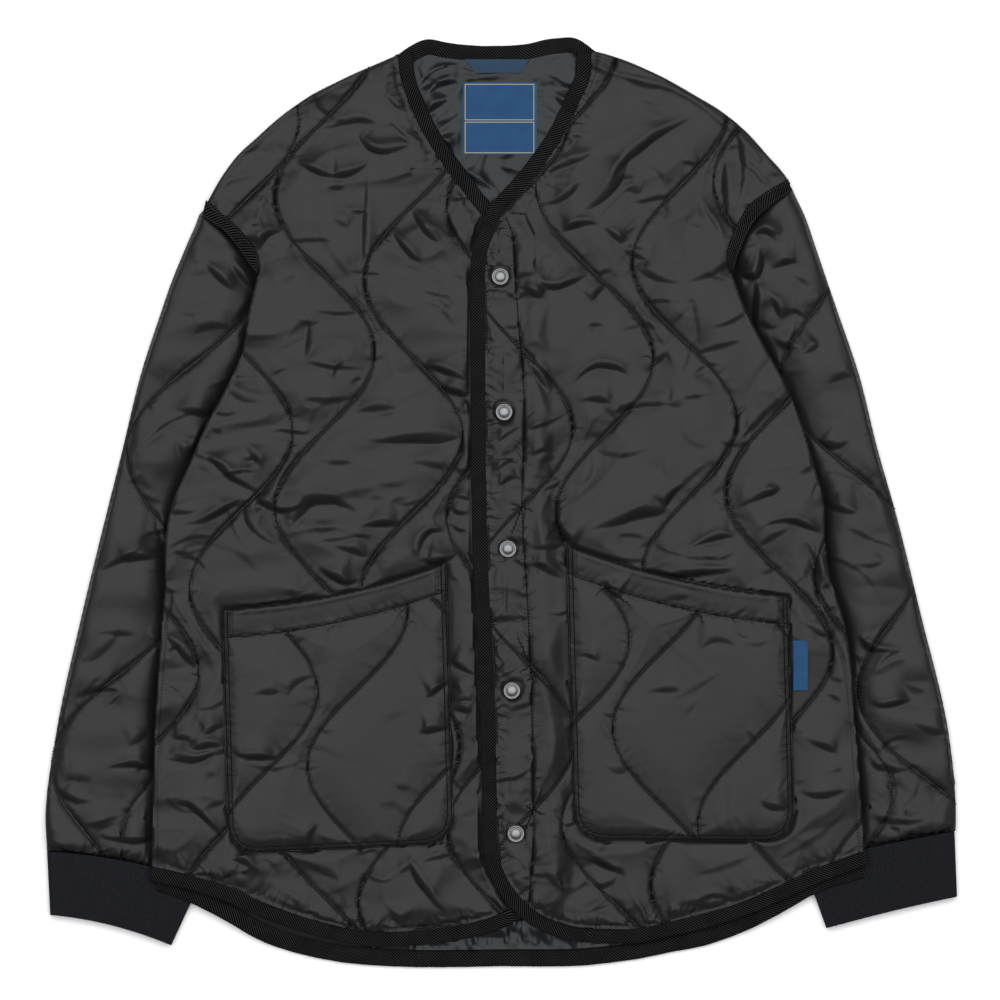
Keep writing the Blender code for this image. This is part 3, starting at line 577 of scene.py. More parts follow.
def cloth_mesh(name, grid, fine, plain, finish, below=False, coarse=22.0, rings=0.0, hollow=None):
    """A closed wall: a fine face over the grid's kept nodes, a rim, and a plain face of triangles
    through the rim's nodes and a few inner ones, more of them within rings of the outline. below
    puts the fine face underneath."""
    number, quads, triangles, rim = cells(grid.keep)
    scale = number.max() + 1
    around = np.unique(rim)
    every = max(1, round(coarse / grid.pitch))
    sparse = np.zeros(grid.keep.shape, bool)
    sparse[::every, ::every] = True
    sparse &= grid.edge > 0.4 * coarse
    close = np.zeros(grid.keep.shape, bool)
    close[::2, ::2] = True
    sparse |= close & (grid.edge > grid.pitch) & (grid.edge < rings)
    inner = number[sparse & grid.keep]
    flat = np.column_stack([grid.x[grid.keep], grid.y[grid.keep]])
    chosen = np.concatenate([around, inner])
    solved = delaunay_2d_cdt([Vector(spot) for spot in flat[chosen].tolist()],
                             np.searchsorted(around, rim).tolist(), [], 1, 1e-5)
    origin = np.array([first[0] for first in solved[3]])
    plain_faces = origin[np.array(solved[2])] + scale
    side = np.searchsorted(around, rim) + scale
    walls = np.column_stack([rim[:, 1], rim[:, 0], side[:, 0], side[:, 1]])
    verts = np.vstack([np.column_stack([flat, fine[grid.keep]]),
                       np.column_stack([flat[chosen], plain[grid.keep][chosen]])])
    faces = [quads, triangles, plain_faces[:, ::-1], walls]
    if below:
        faces = [face[:, ::-1] for face in faces]
    if hollow:
        inner_verts, inner_faces = hollow
        faces += [face + len(verts) for face in inner_faces]
        verts = np.vstack([verts, inner_verts])
    made = put(name, verts, [row for face in faces for row in face.tolist()], finish)
    for mark, fields in grid.marks.items():
        columns = np.column_stack([field[grid.keep] for field in fields])
        columns = np.vstack([columns, columns[chosen]])
        columns = np.vstack([columns, np.full((len(verts) - len(columns), 3), 999.0)])
        attribute = made.data.attributes.new(mark, "FLOAT_VECTOR", "POINT")
        attribute.data.foreach_set("vector", columns.ravel())
    return made


NYLON = (0.0068, 0.0068, 0.0077)
# Near-black for the seams' lines: painted shade down in the stitches' channels, with the thread's
# own black.
SEAM_SHADE_AND_THREAD = (0.0005, 0.0005, 0.0006, 1.0)    # down in the stitches' channels
THREAD_PITCH, ROW_PITCH = 2.6, 1.9


def shell_finish(name, rows=(), rim_reach=15.0, rim_start=0.0, rim_share=1.0):
    """Charcoal nylon taffeta with a soft shine. A seam shows as one dark line of stitches where it
    runs level and as two where it is steep, painted dark as thread and as shade in its channel,
    with fine puckers across it, their folds painted darker as shade, which crowd at a rim too.
    rows are lines of stitches at distances from the rim, painted dark in the same way."""
    made = Finish(name, NYLON, 0.42, Specular_IOR_Level=0.20)
    cloudy = made.noise(26.0, 3.0)
    patch = made.noise(30.0, 1.0)
    left, seam, run = made.marks("seam")
    steep, rim, rim_run = made.marks("rim")
    stitch = run.stripes(THREAD_PITCH)
    # line is each seam's channel: it dents the bump and is painted dark as shade, broken into
    # stitch dashes where the seam runs level.
    line = (left.size() - steep * 0.85).size().fade(0.1, 0.65) * seam.fade(2.0, 3.0)
    line = line * (0.7 + steep * 0.3) * (1 - stitch * (1 - steep) * 0.5)
    # Each row of stitches is also painted as a dark dashed line: thread and painted shade.
    for row in rows:
        knot = rim_run.stripes(ROW_PITCH) * 0.9 + 0.1
        line = line.most((rim - row).size().fade(0.1, 0.65) * knot)

    def puckers(across, along, wide, reach, dense):
        slant = (patch - 0.5) * 5.0
        at = made.node("ShaderNodeCombineXYZ", inputs=[(along + slant * across.size()) / wide,
                                                       across / (7 * wide), 0.0])
        return made.noise(1.0, 0.0, at).fade(0.24, 0.24 + dense) * reach

    place = patch.fade(0.62, 0.38)
    seam_puckers = puckers(left, run, 6.5, seam.fade(0.5, 11.0) * (1 - steep * 0.6) * place, 0.34)
    rim_puckers = puckers(rim, rim_run, 5.4, rim.fade(rim_start, rim_start + rim_reach), 0.36)
    pucker = seam_puckers.most(rim_puckers * rim_share)
    weave = made.noise(1100.0, 1.0, made.place(0.4))
    ground = made.tones(NYLON, cloudy * 0.4 + weave * 0.6, 0.7, 1.3)
    # The seams' lines and the puckers are painted towards near-black: painted shade in the channels
    # and in the puckers' folds, with the thread's black in the dashes.
    made.feed("Base Color", made.mix((line * 0.9).most(pucker * 0.14), ground, SEAM_SHADE_AND_THREAD))
    made.feed("Roughness", 0.38 + cloudy * 0.08)
    crinkle = made.noise(210.0, 3.0)
    made.bump(crinkle * 0.12 + weave * 0.05 + cloudy * 0.5 - line * 0.5 - pucker * 0.7, 1.0)
    return made


shell = shell_finish("charcoal quilted nylon")
TUCKS = {side: tucked(side) for side in SIDES}


def body_rise(grid):
    """How far the sleeves lift the body's layers, easing down towards the centre."""
    return BODY_RISE * np.maximum(grid.over(TUCKS["right"], 8, 90), grid.over(TUCKS["left"], 8, 90))


TUCKED_EDGE = 1.8              # how far cloth goes in under its binding
BACK_PITCH, BODY_PITCH = 3.2, 4.0
back_cut = back_outline(BINDING_WIDTH - TUCKED_EDGE)
back_waves = [wave(line) for side in SIDES for line in BODY_WAVES[side]]
back_grid = Grid(back_cut, BACK_PITCH)
back_lift = body_rise(back_grid)
back_grid.fit(back_cut, back_waves)
back_edge = 1 - swell(back_grid.edge / 9)
back_channel = 1.6 * (1 - swell(back_grid.seam / 14))
back_under = back_lift + np.maximum(back_channel, 0.8 * back_edge)
back_inside = back_lift + BACK_WALL - 3.6 * eased(1 - back_grid.edge / 16)
back_cloth = cloth_mesh("back_panel_cloth", back_grid, back_under, back_inside, shell, below=True,
                        coarse=30, rings=16.0)
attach(back_cloth, "root")
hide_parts("back_panel")

# ---------------------------------------------------------------- back bindings
# The back's neck and hem are bound with black cotton twill tape, folded over the edge and stitched
# down in one row near its inner edge.
TWILL_PITCH = 1.7
BINDING_STITCH = 1.0           # the stitched row's distance from the inner edge
BINDING_STEP = 1.6             # between two sections along a binding
BINDING_WOBBLE = 0.12
BINDING_RUN_ON = (1.5, 0.4)    # one step past the side fold, of three


def twill_finish(name, colour):
    """Twill tape: raised ribs that climb across it, with painted light on top and painted shade
    between.
    """
    made = Finish(name, colour, 0.88, Specular_IOR_Level=0.012)
    along, across = made.cut()
    wander = made.noise(300.0, 2.0) * 1.2
    relief = ((along + across) * 0.707).stripes(TWILL_PITCH * MM, wander) ** 2.2
    worn = made.noise(70.0, 2.0).fade(0.3, 0.7)
    # The ribs' relief paints their tops light and the grooves near-black: painted light and shade,
    # stronger or weaker in random worn patches.
    made.shade(colour, relief * (0.75 + worn * 0.25), 0.05, 4.4)
    made.bump(relief, 0.6)
    return made


TWILL_BLACK = (0.0072, 0.0072, 0.0074)
twill = twill_finish("black cotton twill", TWILL_BLACK)


def set_cut(made, along, across):
    """Gives each face's corners their places along and across the strip."""
    cut = made.data.uv_layers.new(name="cut")
    cut.data.foreach_set("uv", (np.column_stack([along, across]) * MM).ravel())


def strip_faces(count, wide, looped=False):
    """The squares between rings of wide points each: their row and place numbers, and the faces."""
    i, j = np.meshgrid(np.arange(count - 1 + looped), np.arange(wide), indexing="ij")
    k, n = (j + 1) % wide, (i + 1) % count
    faces = np.stack([i * wide + j, n * wide + j, n * wide + k, i * wide + k], -1)
    return i, j, faces.reshape(-1, 4)


def last_ring(count, wide):
    """The face that closes the last ring, the other way round."""
    return list(range((count - 1) * wide, count * wide))[::-1]


def swept(name, edge, bed, section, finish, wobble=0.0, seed=0, towards=None):
    """A strip along an edge: each section point goes inward and up by its two distances, a bed's
    height is added, and slow sines of random phase make the height uneven by wobble. With another
    edge to go towards, the section's first distances are shares of the way there."""
    run = distance_run(edge)
    phases = np.random.default_rng(seed).uniform(0, 2 * math.pi, (3, 2))
    uneven = sum(np.sin(run[:, None] / span + phase)
                 for span, phase in zip((3.1, 7.3, 17.0), phases))
    section = np.array(section, float)
    inward = to_left(edge) if towards is None else towards - edge
    count, wide = len(edge), len(section)
    loose = (section[None, :, 1] > 0) * (towards is None)
    shifts = section[None, :, 0] + 0.5 * wobble * uneven[:, :1] * loose
    flat = edge[:, None] + inward[:, None] * shifts[..., None]
    share = section[None, :, 1] / section[:, 1].max()
    height = bed[:, None] + section[None, :, 1] + wobble * uneven[:, 1:] * share
    verts = np.dstack([flat, height]).reshape(-1, 3)
    i, j, faces = strip_faces(count, wide)
    ends = [list(range(wide)), last_ring(count, wide)]
    made = put(name, verts, faces.tolist() + ends, finish)
    if towards is not None:
        section = section * (np.linalg.norm(inward, axis=1).mean(), 1)
    girth = distance_run(section)
    corner_along = np.concatenate([np.stack([run[i], run[i + 1], run[i + 1], run[i]], -1).ravel(),
                                   np.zeros(wide), np.full(wide, run[-1])])
    closing = np.append(girth, girth[-1] + np.linalg.norm(section[-1] - section[0]))
    corner_across = np.concatenate([
        np.stack([closing[j], closing[j], closing[j + 1], closing[j + 1]], -1).ravel(),
        girth, girth[::-1]])
    set_cut(made, corner_along, corner_across)
    return made


def bound(width, height):
    """A binding's section, clockwise as its edge runs: round at the fold, crowned, dented by its
    stitches, then down its inner edge and back underneath."""
    turn = np.linspace(-0.5 * math.pi, 0.5 * math.pi, 9)
    radius = 0.5 * height
    nose = np.column_stack([radius * (1 - np.cos(turn)), radius * (1 + np.sin(turn))])
    t = np.linspace(0, 1, 12)[1:]
    top = radius + (width - radius) * t
    dent = 0.6 * bell(top - width + BINDING_STITCH, 0.8)
    crown = height + 0.35 * np.sin(math.pi * t) - dent
    crown[-1] = height - 0.55
    return np.vstack([nose, np.column_stack([top, crown]), [(width, 0)]])


def field_at(grid, field, points):
    """A grid's field read at points between its nodes: bilinear."""
    column = np.clip((points[:, 0] - grid.xs[0]) / grid.pitch, 0, grid.x.shape[1] - 1.001)
    row = np.clip((points[:, 1] - grid.ys[0]) / grid.pitch, 0, grid.x.shape[0] - 1.001)
    i, j = row.astype(int), column.astype(int)
    v, u = row - i, column - j
    return ((1 - v) * ((1 - u) * field[i, j] + u * field[i, j + 1])
            + v * ((1 - u) * field[i + 1, j] + u * field[i + 1, j + 1]))


body_grid = Grid(np.array([(-400.0, -400.0), (400.0, 400.0)]), BODY_PITCH)
body_lift = body_rise(body_grid)


def kept_at(grid, points):
    return field_at(grid, grid.keep.astype(float), points)


def lift_at(points):
    return field_at(body_grid, body_lift, points)


def lift_over(grid):
    return lift_at(grid.spots()).reshape(grid.x.shape)


for name, edge, height in (("back_hem_binding", across_both(back_hem), BACK_WALL),
                           ("back_neck_binding", across_both(back_neck)[::-1], BACK_WALL + 0.8)):
    edge = evenly(edge, BINDING_STEP)
    made = swept(name + "_twill", edge, lift_at(edge), bound(BINDING_WIDTH, height), twill,
                 wobble=BINDING_WOBBLE, seed=len(name))
    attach(made, "root")
    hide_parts(name)

# ---------------------------------------------------------------- linings
# The back's lining is slate satin. It shows in the neck, where it has creases of its own, and in
# the gap between the two hems, where it is gathered.
SLATE = (0.0042, 0.0056, 0.0075)
LINING_PITCH = 1.5
satin = Finish("slate satin", SLATE, 0.35, Specular_IOR_Level=0.21)
satin_cloud = satin.noise(40.0, 3.0)
satin.shade(SLATE, satin_cloud, 0.8, 1.2)
satin_fold = satin.noise(22.0, 1.0, distortion=1.8)
satin.bump(satin.noise(330.0, 1.0) * 0.05 + satin_fold * 7.5, 1.0)

Crease = namedtuple("Crease", "depth width x0 y0 x1 y1 x2 y2")    # start, middle and end
NECK_CREASES = listed(Crease,
    (-2.2, 3.0, -66, 328, -45, 343, -20, 338), (1.8, 3.5, -60, 318, -48, 330, -30, 331),
    (2.6, 4.0, -58, 306, -50, 314, -42, 320), (-1.6, 2.2, -55, 298, -46, 306, -40, 316),
    (-2.6, 3.0, -36, 268, -20, 255, -6, 245), (2.0, 3.2, -36, 256, -22, 246, -8, 237),
    (-1.6, 5.0, 34, 340, 45, 332, 62, 325), (1.5, 4.0, 32, 330, 44, 320, 56, 300),
    (-1.4, 4.0, 30, 300, 36, 285, 38, 268), (1.6, 3.0, -50, 288, -42, 280, -36, 272),
    (-1.0, 5.0, -10, 268, 8, 262, 24, 258))


def fold_form(up, width):
    """A fold's section: from a sharp foot its face climbs steeply at first and rounds off into the
    crest, with a slow slope behind it and a shallow trough before its foot."""
    v = up / width + 0.5
    face = 0.7 - np.clip(1 - v / 1.4, 0, 1) ** 2
    slope, trough = 0.7 * np.exp((1.4 - v) / 1.8), -0.3 * np.exp(v / 1.2)
    return np.where(v > 1.4, slope, np.where(v < 0, trough, face))


def patchy(grid, size, seed, stretch=1.0):
    """Soft patches between 0 and 1, drawn out along x: a sum of sine waves in random directions."""
    random = np.random.default_rng(seed)
    total = 0
    for turn, phase, scale in zip(random.uniform(0, math.pi, 7), random.uniform(0, 6.3, 7),
                                  random.uniform(0.6, 1.8, 7)):
        along = grid.x * math.cos(turn) / stretch + grid.y * math.sin(turn)
        total = total + np.sin(along * scale / size + phase)
    return np.clip(0.5 + total / 5, 0, 1)


FOLD_DEPTH = 1.6               # millimetres for a crease's depth of 1
FOLD_WANDER = 0.8              # how far a crease strays from its arc


def creased(grid, creases):
    """Folds: each follows a parabola's arc that wanders a little, stands to the left of
    its way from start to end, or to the right if its depth is negative, and swells in between."""
    field = np.zeros(grid.x.shape)
    places = np.stack([grid.x + FOLD_WANDER * (2 * patchy(grid, 7, 1) - 1),
                       grid.y + FOLD_WANDER * (2 * patchy(grid, 7, 2) - 1)], -1)
    for fold in creases:
        ends, middle = np.array([(fold.x0, fold.y0), (fold.x2, fold.y2)], float), (fold.x1, fold.y1)
        line = bowed(ends[0], 2 * np.array(middle) - ends.mean(0), ends[1], 3.0)
        near = grid.window(line.min(0) - 7 * fold.width, line.max(0) + 7 * fold.width)
        spots = places[near][..., None, :]
        if not spots.size:
            continue
        starts, along = line[:-1], np.diff(line, axis=0)
        t = ((spots - starts) * along).sum(-1) / (along ** 2).sum(-1)
        apart = spots - starts - np.clip(t, 0, 1)[..., None] * along
        far = np.linalg.norm(apart, axis=-1)
        piece = far.argmin(-1)[..., None]
        far = np.take_along_axis(far, piece, -1)[..., 0]
        turn = along[:, 0] * apart[..., 1] - along[:, 1] * apart[..., 0]
        up = far * np.sign(np.take_along_axis(turn, piece, -1)[..., 0]) * np.sign(fold.depth)
        reached = (piece[..., 0] + np.take_along_axis(t, piece, -1)[..., 0]) / len(along)
        beyond = np.maximum(np.maximum(-reached, reached - 1), 0) * len(along) * 3.0
        lean = 2.0 ** math.sin(3.1 * fold.x0 + 7.7 * fold.y2)
        grown = np.sin(math.pi * np.clip(reached, 0.02, 0.98) ** lean)
        width = fold.width * (0.25 + 0.75 * grown)
        taper = grown * bell(beyond, width)
        field[near] += FOLD_DEPTH * fold.depth * taper * fold_form(up, width)
    return field


def wrinkles(outline, seed, every, turned=0.0):
    """Small folds between the main ones: at random places, one to every so many square
    millimetres, nearly level or turned, most of them with their steep face below."""
    random = np.random.default_rng(seed)
    low, high = outline.min(0), outline.max(0)
    made = []
    for x, y in random.uniform(low, high, (int(np.prod(high - low) / every), 2)):
        long = 12 + random.exponential(14.0)
        turn = turned + 0.35 * math.sin(x / 41 + y / 57 + seed) + random.normal(0, 0.38)
        reach = 0.5 * long * np.array([math.cos(turn), math.sin(turn)])
        bow = random.normal(0, 0.13) * long
        depth = random.choice((1, 1, -1)) * random.uniform(0.4, 1.5)
        made.append(Crease(depth, random.uniform(2.2, 5.5), x - reach[0], y - reach[1],
                           x - bow * math.sin(turn), y + bow * math.cos(turn),
                           x + reach[0], y + reach[1]))
    return made


neck_seam = inset(across_both(back_neck)[::-1], BINDING_WIDTH - 1)
neck_seam = neck_seam[np.abs(neck_seam[:, 0] + 5) < 78]
neck_cut = joined(neck_seam, bowed(neck_seam[-1], (-86, 250), (-8, 203)),
                  bowed((-8, 203), (78, 250), neck_seam[0]))
neck_grid = Grid(neck_cut, LINING_PITCH).fit(neck_cut, [])
LABEL_MIDDLE, LABEL_SIZE = (-2.0, 303.4), (59.3, 58.5)
beyond_label = np.max([np.abs(neck_grid.x - LABEL_MIDDLE[0]) - LABEL_SIZE[0] / 2,
                       np.abs(neck_grid.y - LABEL_MIDDLE[1]) - LABEL_SIZE[1] / 2], axis=0)
neck_top = LINING_BED + 0.6 + (0.6 + 1.5 * creased(neck_grid, NECK_CREASES)) * eased(
    neck_grid.edge / 8) * eased(beyond_label / 3)
neck_top = np.maximum(neck_top, LINING_BED + 0.5)
hem_line = across_both(back_hem)
hem_line = hem_line[np.abs(hem_line[:, 0] - 20) < 95]
hem_cut = joined(inset(hem_line, BINDING_WIDTH + 0.4), inset(hem_line, 52)[::-1])
hem_grid = Grid(hem_cut, LINING_PITCH)
hem_bed = LINING_BED + lift_over(hem_grid)
hem_grid.fit(hem_cut, [])
hem_top = hem_bed + 1.6 + eased(hem_grid.edge / 6) * (0.3 + patchy(hem_grid, 5, 4)) * (
    0.8 * np.sin(hem_grid.x / 1.3 + 0.06 * hem_grid.y + 2.2 * np.sin(hem_grid.x / 13.0))
    + 0.7 * np.sin(hem_grid.x / 2.6 + hem_grid.y / 7.0 + 2.0 * np.sin(hem_grid.y / 9.0)))
neck_bed = np.full(neck_top.shape, LINING_BED)
for name, grid, top, bed, size in (("neck_lining", neck_grid, neck_top, neck_bed, (0.170, 0.165)),
                                   ("hem_lining", hem_grid, hem_top, hem_bed, (0.21, 0.055))):
    made = cloth_mesh(name + "_satin", grid, top, bed, satin)
    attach(made, "root")
    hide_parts(name)

# ---------------------------------------------------------------- neck label and hanger loop
# A woven label, blue with thin gold frames and otherwise bare, is sewn to the lining under the
# neck. Above it is a loop of navy tape, caught at both ends under the neck's binding.
FRAMES = ((54.3, 28.1, 12.9), (54.3, 24.2, -15.1))    # width, height, middle above the label's
FRAME_LINE, LABEL_PITCH = 0.7, 0.55


def woven_finish(name, colour, thread, middle, frames):
    """A woven label: fine ribs across, with thin frames of another thread."""
    made = Finish(name, colour, 0.6, Specular_IOR_Level=0.12)
    at_x, at_y, _ = made.parts(made.place())
    x, y = at_x * 1000.0 - middle[0], at_y * 1000.0 - middle[1]
    framed = 0.0 * x
    for width, height, up in frames:
        outward = (x.size() - width / 2).most((y - up).size() - height / 2)
        framed = framed.most(1 - outward.size().over(FRAME_LINE / 2))
    ground = made.tones(colour, made.noise(120.0, 2.0), 0.8, 1.25)
    made.feed("Base Color", made.mix(framed, ground, (*thread, 1.0)))
    made.bump(y.stripes(LABEL_PITCH) * 0.5 + framed * 0.5, 0.12, 0.6)
    return made


LABEL_BLUE, GOLD = (0.0085, 0.042, 0.108), (0.24, 0.22, 0.14)
woven = woven_finish("blue woven label", LABEL_BLUE, GOLD, LABEL_MIDDLE, FRAMES)
label_cut = rectangle(LABEL_MIDDLE, LABEL_SIZE)
label_grid = Grid(label_cut, LINING_PITCH).fit(label_cut, [])
label_top = FRONT_BED - 0.25 + 0.1 * np.sin(label_grid.x / 9.0 + 0.8) * np.sin(label_grid.y / 13.0)
made = cloth_mesh("neck_label_woven", label_grid, label_top, label_top - 0.3, woven)
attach(made, "root")
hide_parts("neck_label")

LOOP_WIDTH, LOOP_RISE = 10.7, 1.2
LOOP_EDGES = (((15.8, 339.3), (-20.5, 339.3)), ((21.5, 350.0), (-29.8, 350.0)))
NAVY, NAVY_PITCH = (0.018, 0.037, 0.066), 0.9
navy = Finish("navy tape", NAVY, 0.65, Specular_IOR_Level=0.1)
navy_rib = navy.cut()[0].stripes(NAVY_PITCH * MM)
# The ribs are painted lighter on their ridges and darker in the furrows: painted light and shade.
navy.shade(NAVY, navy_rib, 0.7, 1.25)
navy.bump(navy_rib, 0.2, 0.7)
t = np.linspace(-1, 1, 37)[:, None]
loop_low, loop_high = ((1 - t) / 2 * start + (1 + t) / 2 * end
                       for start, end in np.array(LOOP_EDGES))
loop_bed = LINING_BED + LINING_WALL + 0.6 + LOOP_RISE * (1 - t[:, 0] ** 2)
made = swept("hanger_loop_tape", loop_low, loop_bed,
             [(0, 0), (0, 0.8), (0.3, 0.95), (0.7, 0.95), (1, 0.8), (1, 0)], navy,
             towards=loop_high)
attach(made, "root")
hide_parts("hanger_loop")

# ---------------------------------------------------------------- the two fronts
# Each front is nylon over wadding, sewn through in waves. Its cloth is a little longer than the
# stitching that holds it, so it puckers along every seam. The left front laps over the right one.
OVERLAP_RISE = BINDING_WALL + 2 * GAP
CORNER_RADIUS = {"right": 30.0, "left": 85.0}
# V and closing, across; below 0 it laps past the centre line
FREE_EDGES = listed(Level,
    (355, 71, 59), (338, 69, 58), (320, 63, 50), (290, 48, 35), (265, 31, 17), (245, 16, 0),
    (232, 6, -11), (215, -6, -18), (200, -13, -23), (180, -18, -25), (128, -21, -25),
    (-44, -26, -23), (-148, -32, -18), (-228, -38, -16), (-270, -40, -16))
FRONT_HEM = listed(Station,
    (-11, -332, -349), (5, -339, -349), (33, -346, -349), (60, -350, -349), (84, -351, -349),
    (105, -351, -349), (135, -346, -343), (160, -339, -337), (190, -328, -328), (220, -315, -315),
    (245, -307, -303), (287, -297, -287))
PLACKET = [(3.2, 225), (7.9, 212), (10.3, 182), (13.4, 136), (16.6, 102), (17.4, 58), (15.8, -9.5),
           (19, -61), (21.3, -104), (23.7, -185), (24.5, -228), (23.7, -288), (21.3, -318)]
SHOULDER_SEAM = [(72, 345), (92, 338), (117, 332), (148, 320), (171, 303), (190, 287), (203, 270)]
Pocket = namedtuple("Pocket", "top_in top_out end_out end_in")
POCKETS = {
    "right": Pocket((44, -48), (221, -85), (216, -278), (38, -270)),
    "left": Pocket((51, -34), (226, -74), (231, -268), (57, -267)),
}
POCKET_SAG = 7.0
POCKET_CORNER = 27.0
SNAP_HEIGHTS = (178, 71, -37, -149, -262)
SNAP_LINE = (3.6, -0.028)      # x at height 0, and its drift per height
SNAP_RADIUS = 7.0
FRONT_STEPS, STEPS, QUICK_STEPS = 160, 120, 25     # for settle()
RUN_ON, STIFFNESS, GRIP, SEAM_GRIP = 0.88, 0.22, 0.035, 0.10
SLACK, POCKET_SLACK = 1.010, 1.008                 # the cloth's length over its wadding's
snaps = [np.array([SNAP_LINE[0] + SNAP_LINE[1] * height, height]) for height in SNAP_HEIGHTS]


def free_edge(side):
    """A front's bound edge: down the V and the closing, round the corner, along the hem."""
    radius = CORNER_RADIUS[side]
    end = through(FRONT_HEM, "across", side, getattr(FREE_EDGES[-1], side) + radius) + radius
    closing = table_line(FREE_EDGES, side, np.arange(FREE_EDGES[0].height, end, -2.0))
    corner = closing[-1] + (radius, 0) + radius * arc(np.linspace(math.pi, 1.5 * math.pi, 40))
    across = np.arange(corner[-1, 0] + 2, getattr(SIDE_FOLDS[-1], side), 2.0)
    hem = table_line(FRONT_HEM, side, across)
    return evenly(np.vstack([closing, corner[1:], hem]), BINDING_STEP)


def front_outline(side, trim):
    """A front's cut edge, trim inside its bound edge and on its folds elsewhere."""
    edge = inset(free_edge(side), trim)
    return on_side(joined(edge, side_fold(side, edge[-1, 1] + 1), armhole(side),
                          shoulder(side, edge[0, 0] + 1)), side)


def pocket_sides(side):
    """Down a pocket's inner side, round both corners and up its outer side."""
    pocket = POCKETS[side]
    corners = np.array([pocket.top_in, pocket.end_in, pocket.end_out, pocket.top_out], float)
    path = [corners[:1]]
    for before, corner, after in zip(corners, corners[1:], corners[2:]):
        back, on = before - corner, after - corner
        path.append(bowed(corner + POCKET_CORNER * back / np.linalg.norm(back), corner,
                          corner + POCKET_CORNER * on / np.linalg.norm(on)))
    return on_side(evenly(np.vstack([*path, corners[-1:]])), side)


def pocket_mouth(side, drop):
    """A line drop below the pocket's sagging mouth, from its outer end to its inner one."""
    pocket = POCKETS[side]
    low = np.array([0, -drop])
    outer, inner = np.array(pocket.top_out) + low, np.array(pocket.top_in) + low
    return on_side(bowed(outer, (outer + inner) / 2 - (0, 2 * POCKET_SAG), inner), side)


def pocket_outline(side):
    mouth, sides = pocket_mouth(side, 0), pocket_sides(side)
    return joined(mouth, sides) if side == "left" else joined(sides, mouth)


def settle(grid, surface, slack, grip, floor, seed, steps):
    """Lets cloth that is longer than the surface of its wadding find its own wrinkles. On each of
    the steps the nodes run on a little, the wadding draws them to its surface by grip, links to the
    neighbours regain their slack lengths, and stiffness smooths what bends. Held nodes stay."""
    free = (grid.keep & ~grid.held).astype(np.float32)
    rest = np.stack([grid.x, grid.y, surface]).astype(np.float32)
    noise = np.random.default_rng(seed).standard_normal(surface.shape)
    for _ in range(3):
        corner = np.roll(noise, (1, 1), (0, 1))
        noise = (noise + np.roll(noise, 1, 0) + np.roll(noise, 1, 1) + corner) / 2.4
    spot = rest.copy()
    spot[2] += 0.5 * noise * free
    before = spot.copy()
    slack_x, slack_y = slack
    links = []
    for down, along in ((0, 1), (1, 0), (1, 1), (1, -1)):
        for parity in (0, 1):
            ny, nx = surface.shape
            row, hop = (parity, 2) if down else (0, 1)
            column, stride = (along < 0, 1) if down else (parity, 2)
            first = (slice(row, ny - down, hop), slice(column, nx - max(along, 0), stride))
            second = (slice(row + down, ny, hop),
                      slice(column + along, nx + min(along, 0), stride))
            gap = rest[(slice(None), *second)] - rest[(slice(None), *first)]
            share = gap[0] ** 2 / (gap[0] ** 2 + gap[1] ** 2 + 1e-9)
            longer = share * slack_x[first] + (1 - share) * slack_y[first]
            length = np.sqrt((gap ** 2).sum(0)) * longer
            loose = free[first] + free[second]
            both = (grid.keep[first] & grid.keep[second]) / np.maximum(loose, 1)
            stiff = 1.0 if not (down and along) else 0.5
            links.append(((slice(None), *first), (slice(None), *second), length.astype(np.float32),
                          (stiff * both * free[first]).astype(np.float32),
                          (stiff * both * free[second]).astype(np.float32)))
    surface, floor = surface.astype(np.float32), floor.astype(np.float32)
    pull = (grip * free).astype(np.float32)
    inner = (slice(1, -1), slice(1, -1))

    def bend(field):
        out = np.zeros_like(field)
        around = field[:-2, 1:-1] + field[2:, 1:-1] + field[1:-1, :-2] + field[1:-1, 2:]
        out[inner] = 0.25 * around
        out[inner] -= field[inner]
        return out * free

    for _ in range(steps):
        speed = (spot - before) * (RUN_ON * free)
        before = spot.copy()
        spot += speed
        spot[2] += pull * (surface - spot[2])
        for first, second, length, give, take in links:
            gap = spot[second] - spot[first]
            far = np.sqrt((gap * gap).sum(0)) + 1e-6
            gap *= (far - length) / far
            spot[first] += gap * give
            spot[second] -= gap * take
        spot[2] -= STIFFNESS * bend(bend(spot[2]))
        np.maximum(spot[2], floor, out=spot[2])
    grid.x, grid.y = spot[0].astype(float), spot[1].astype(float)
    return spot[2].astype(float)


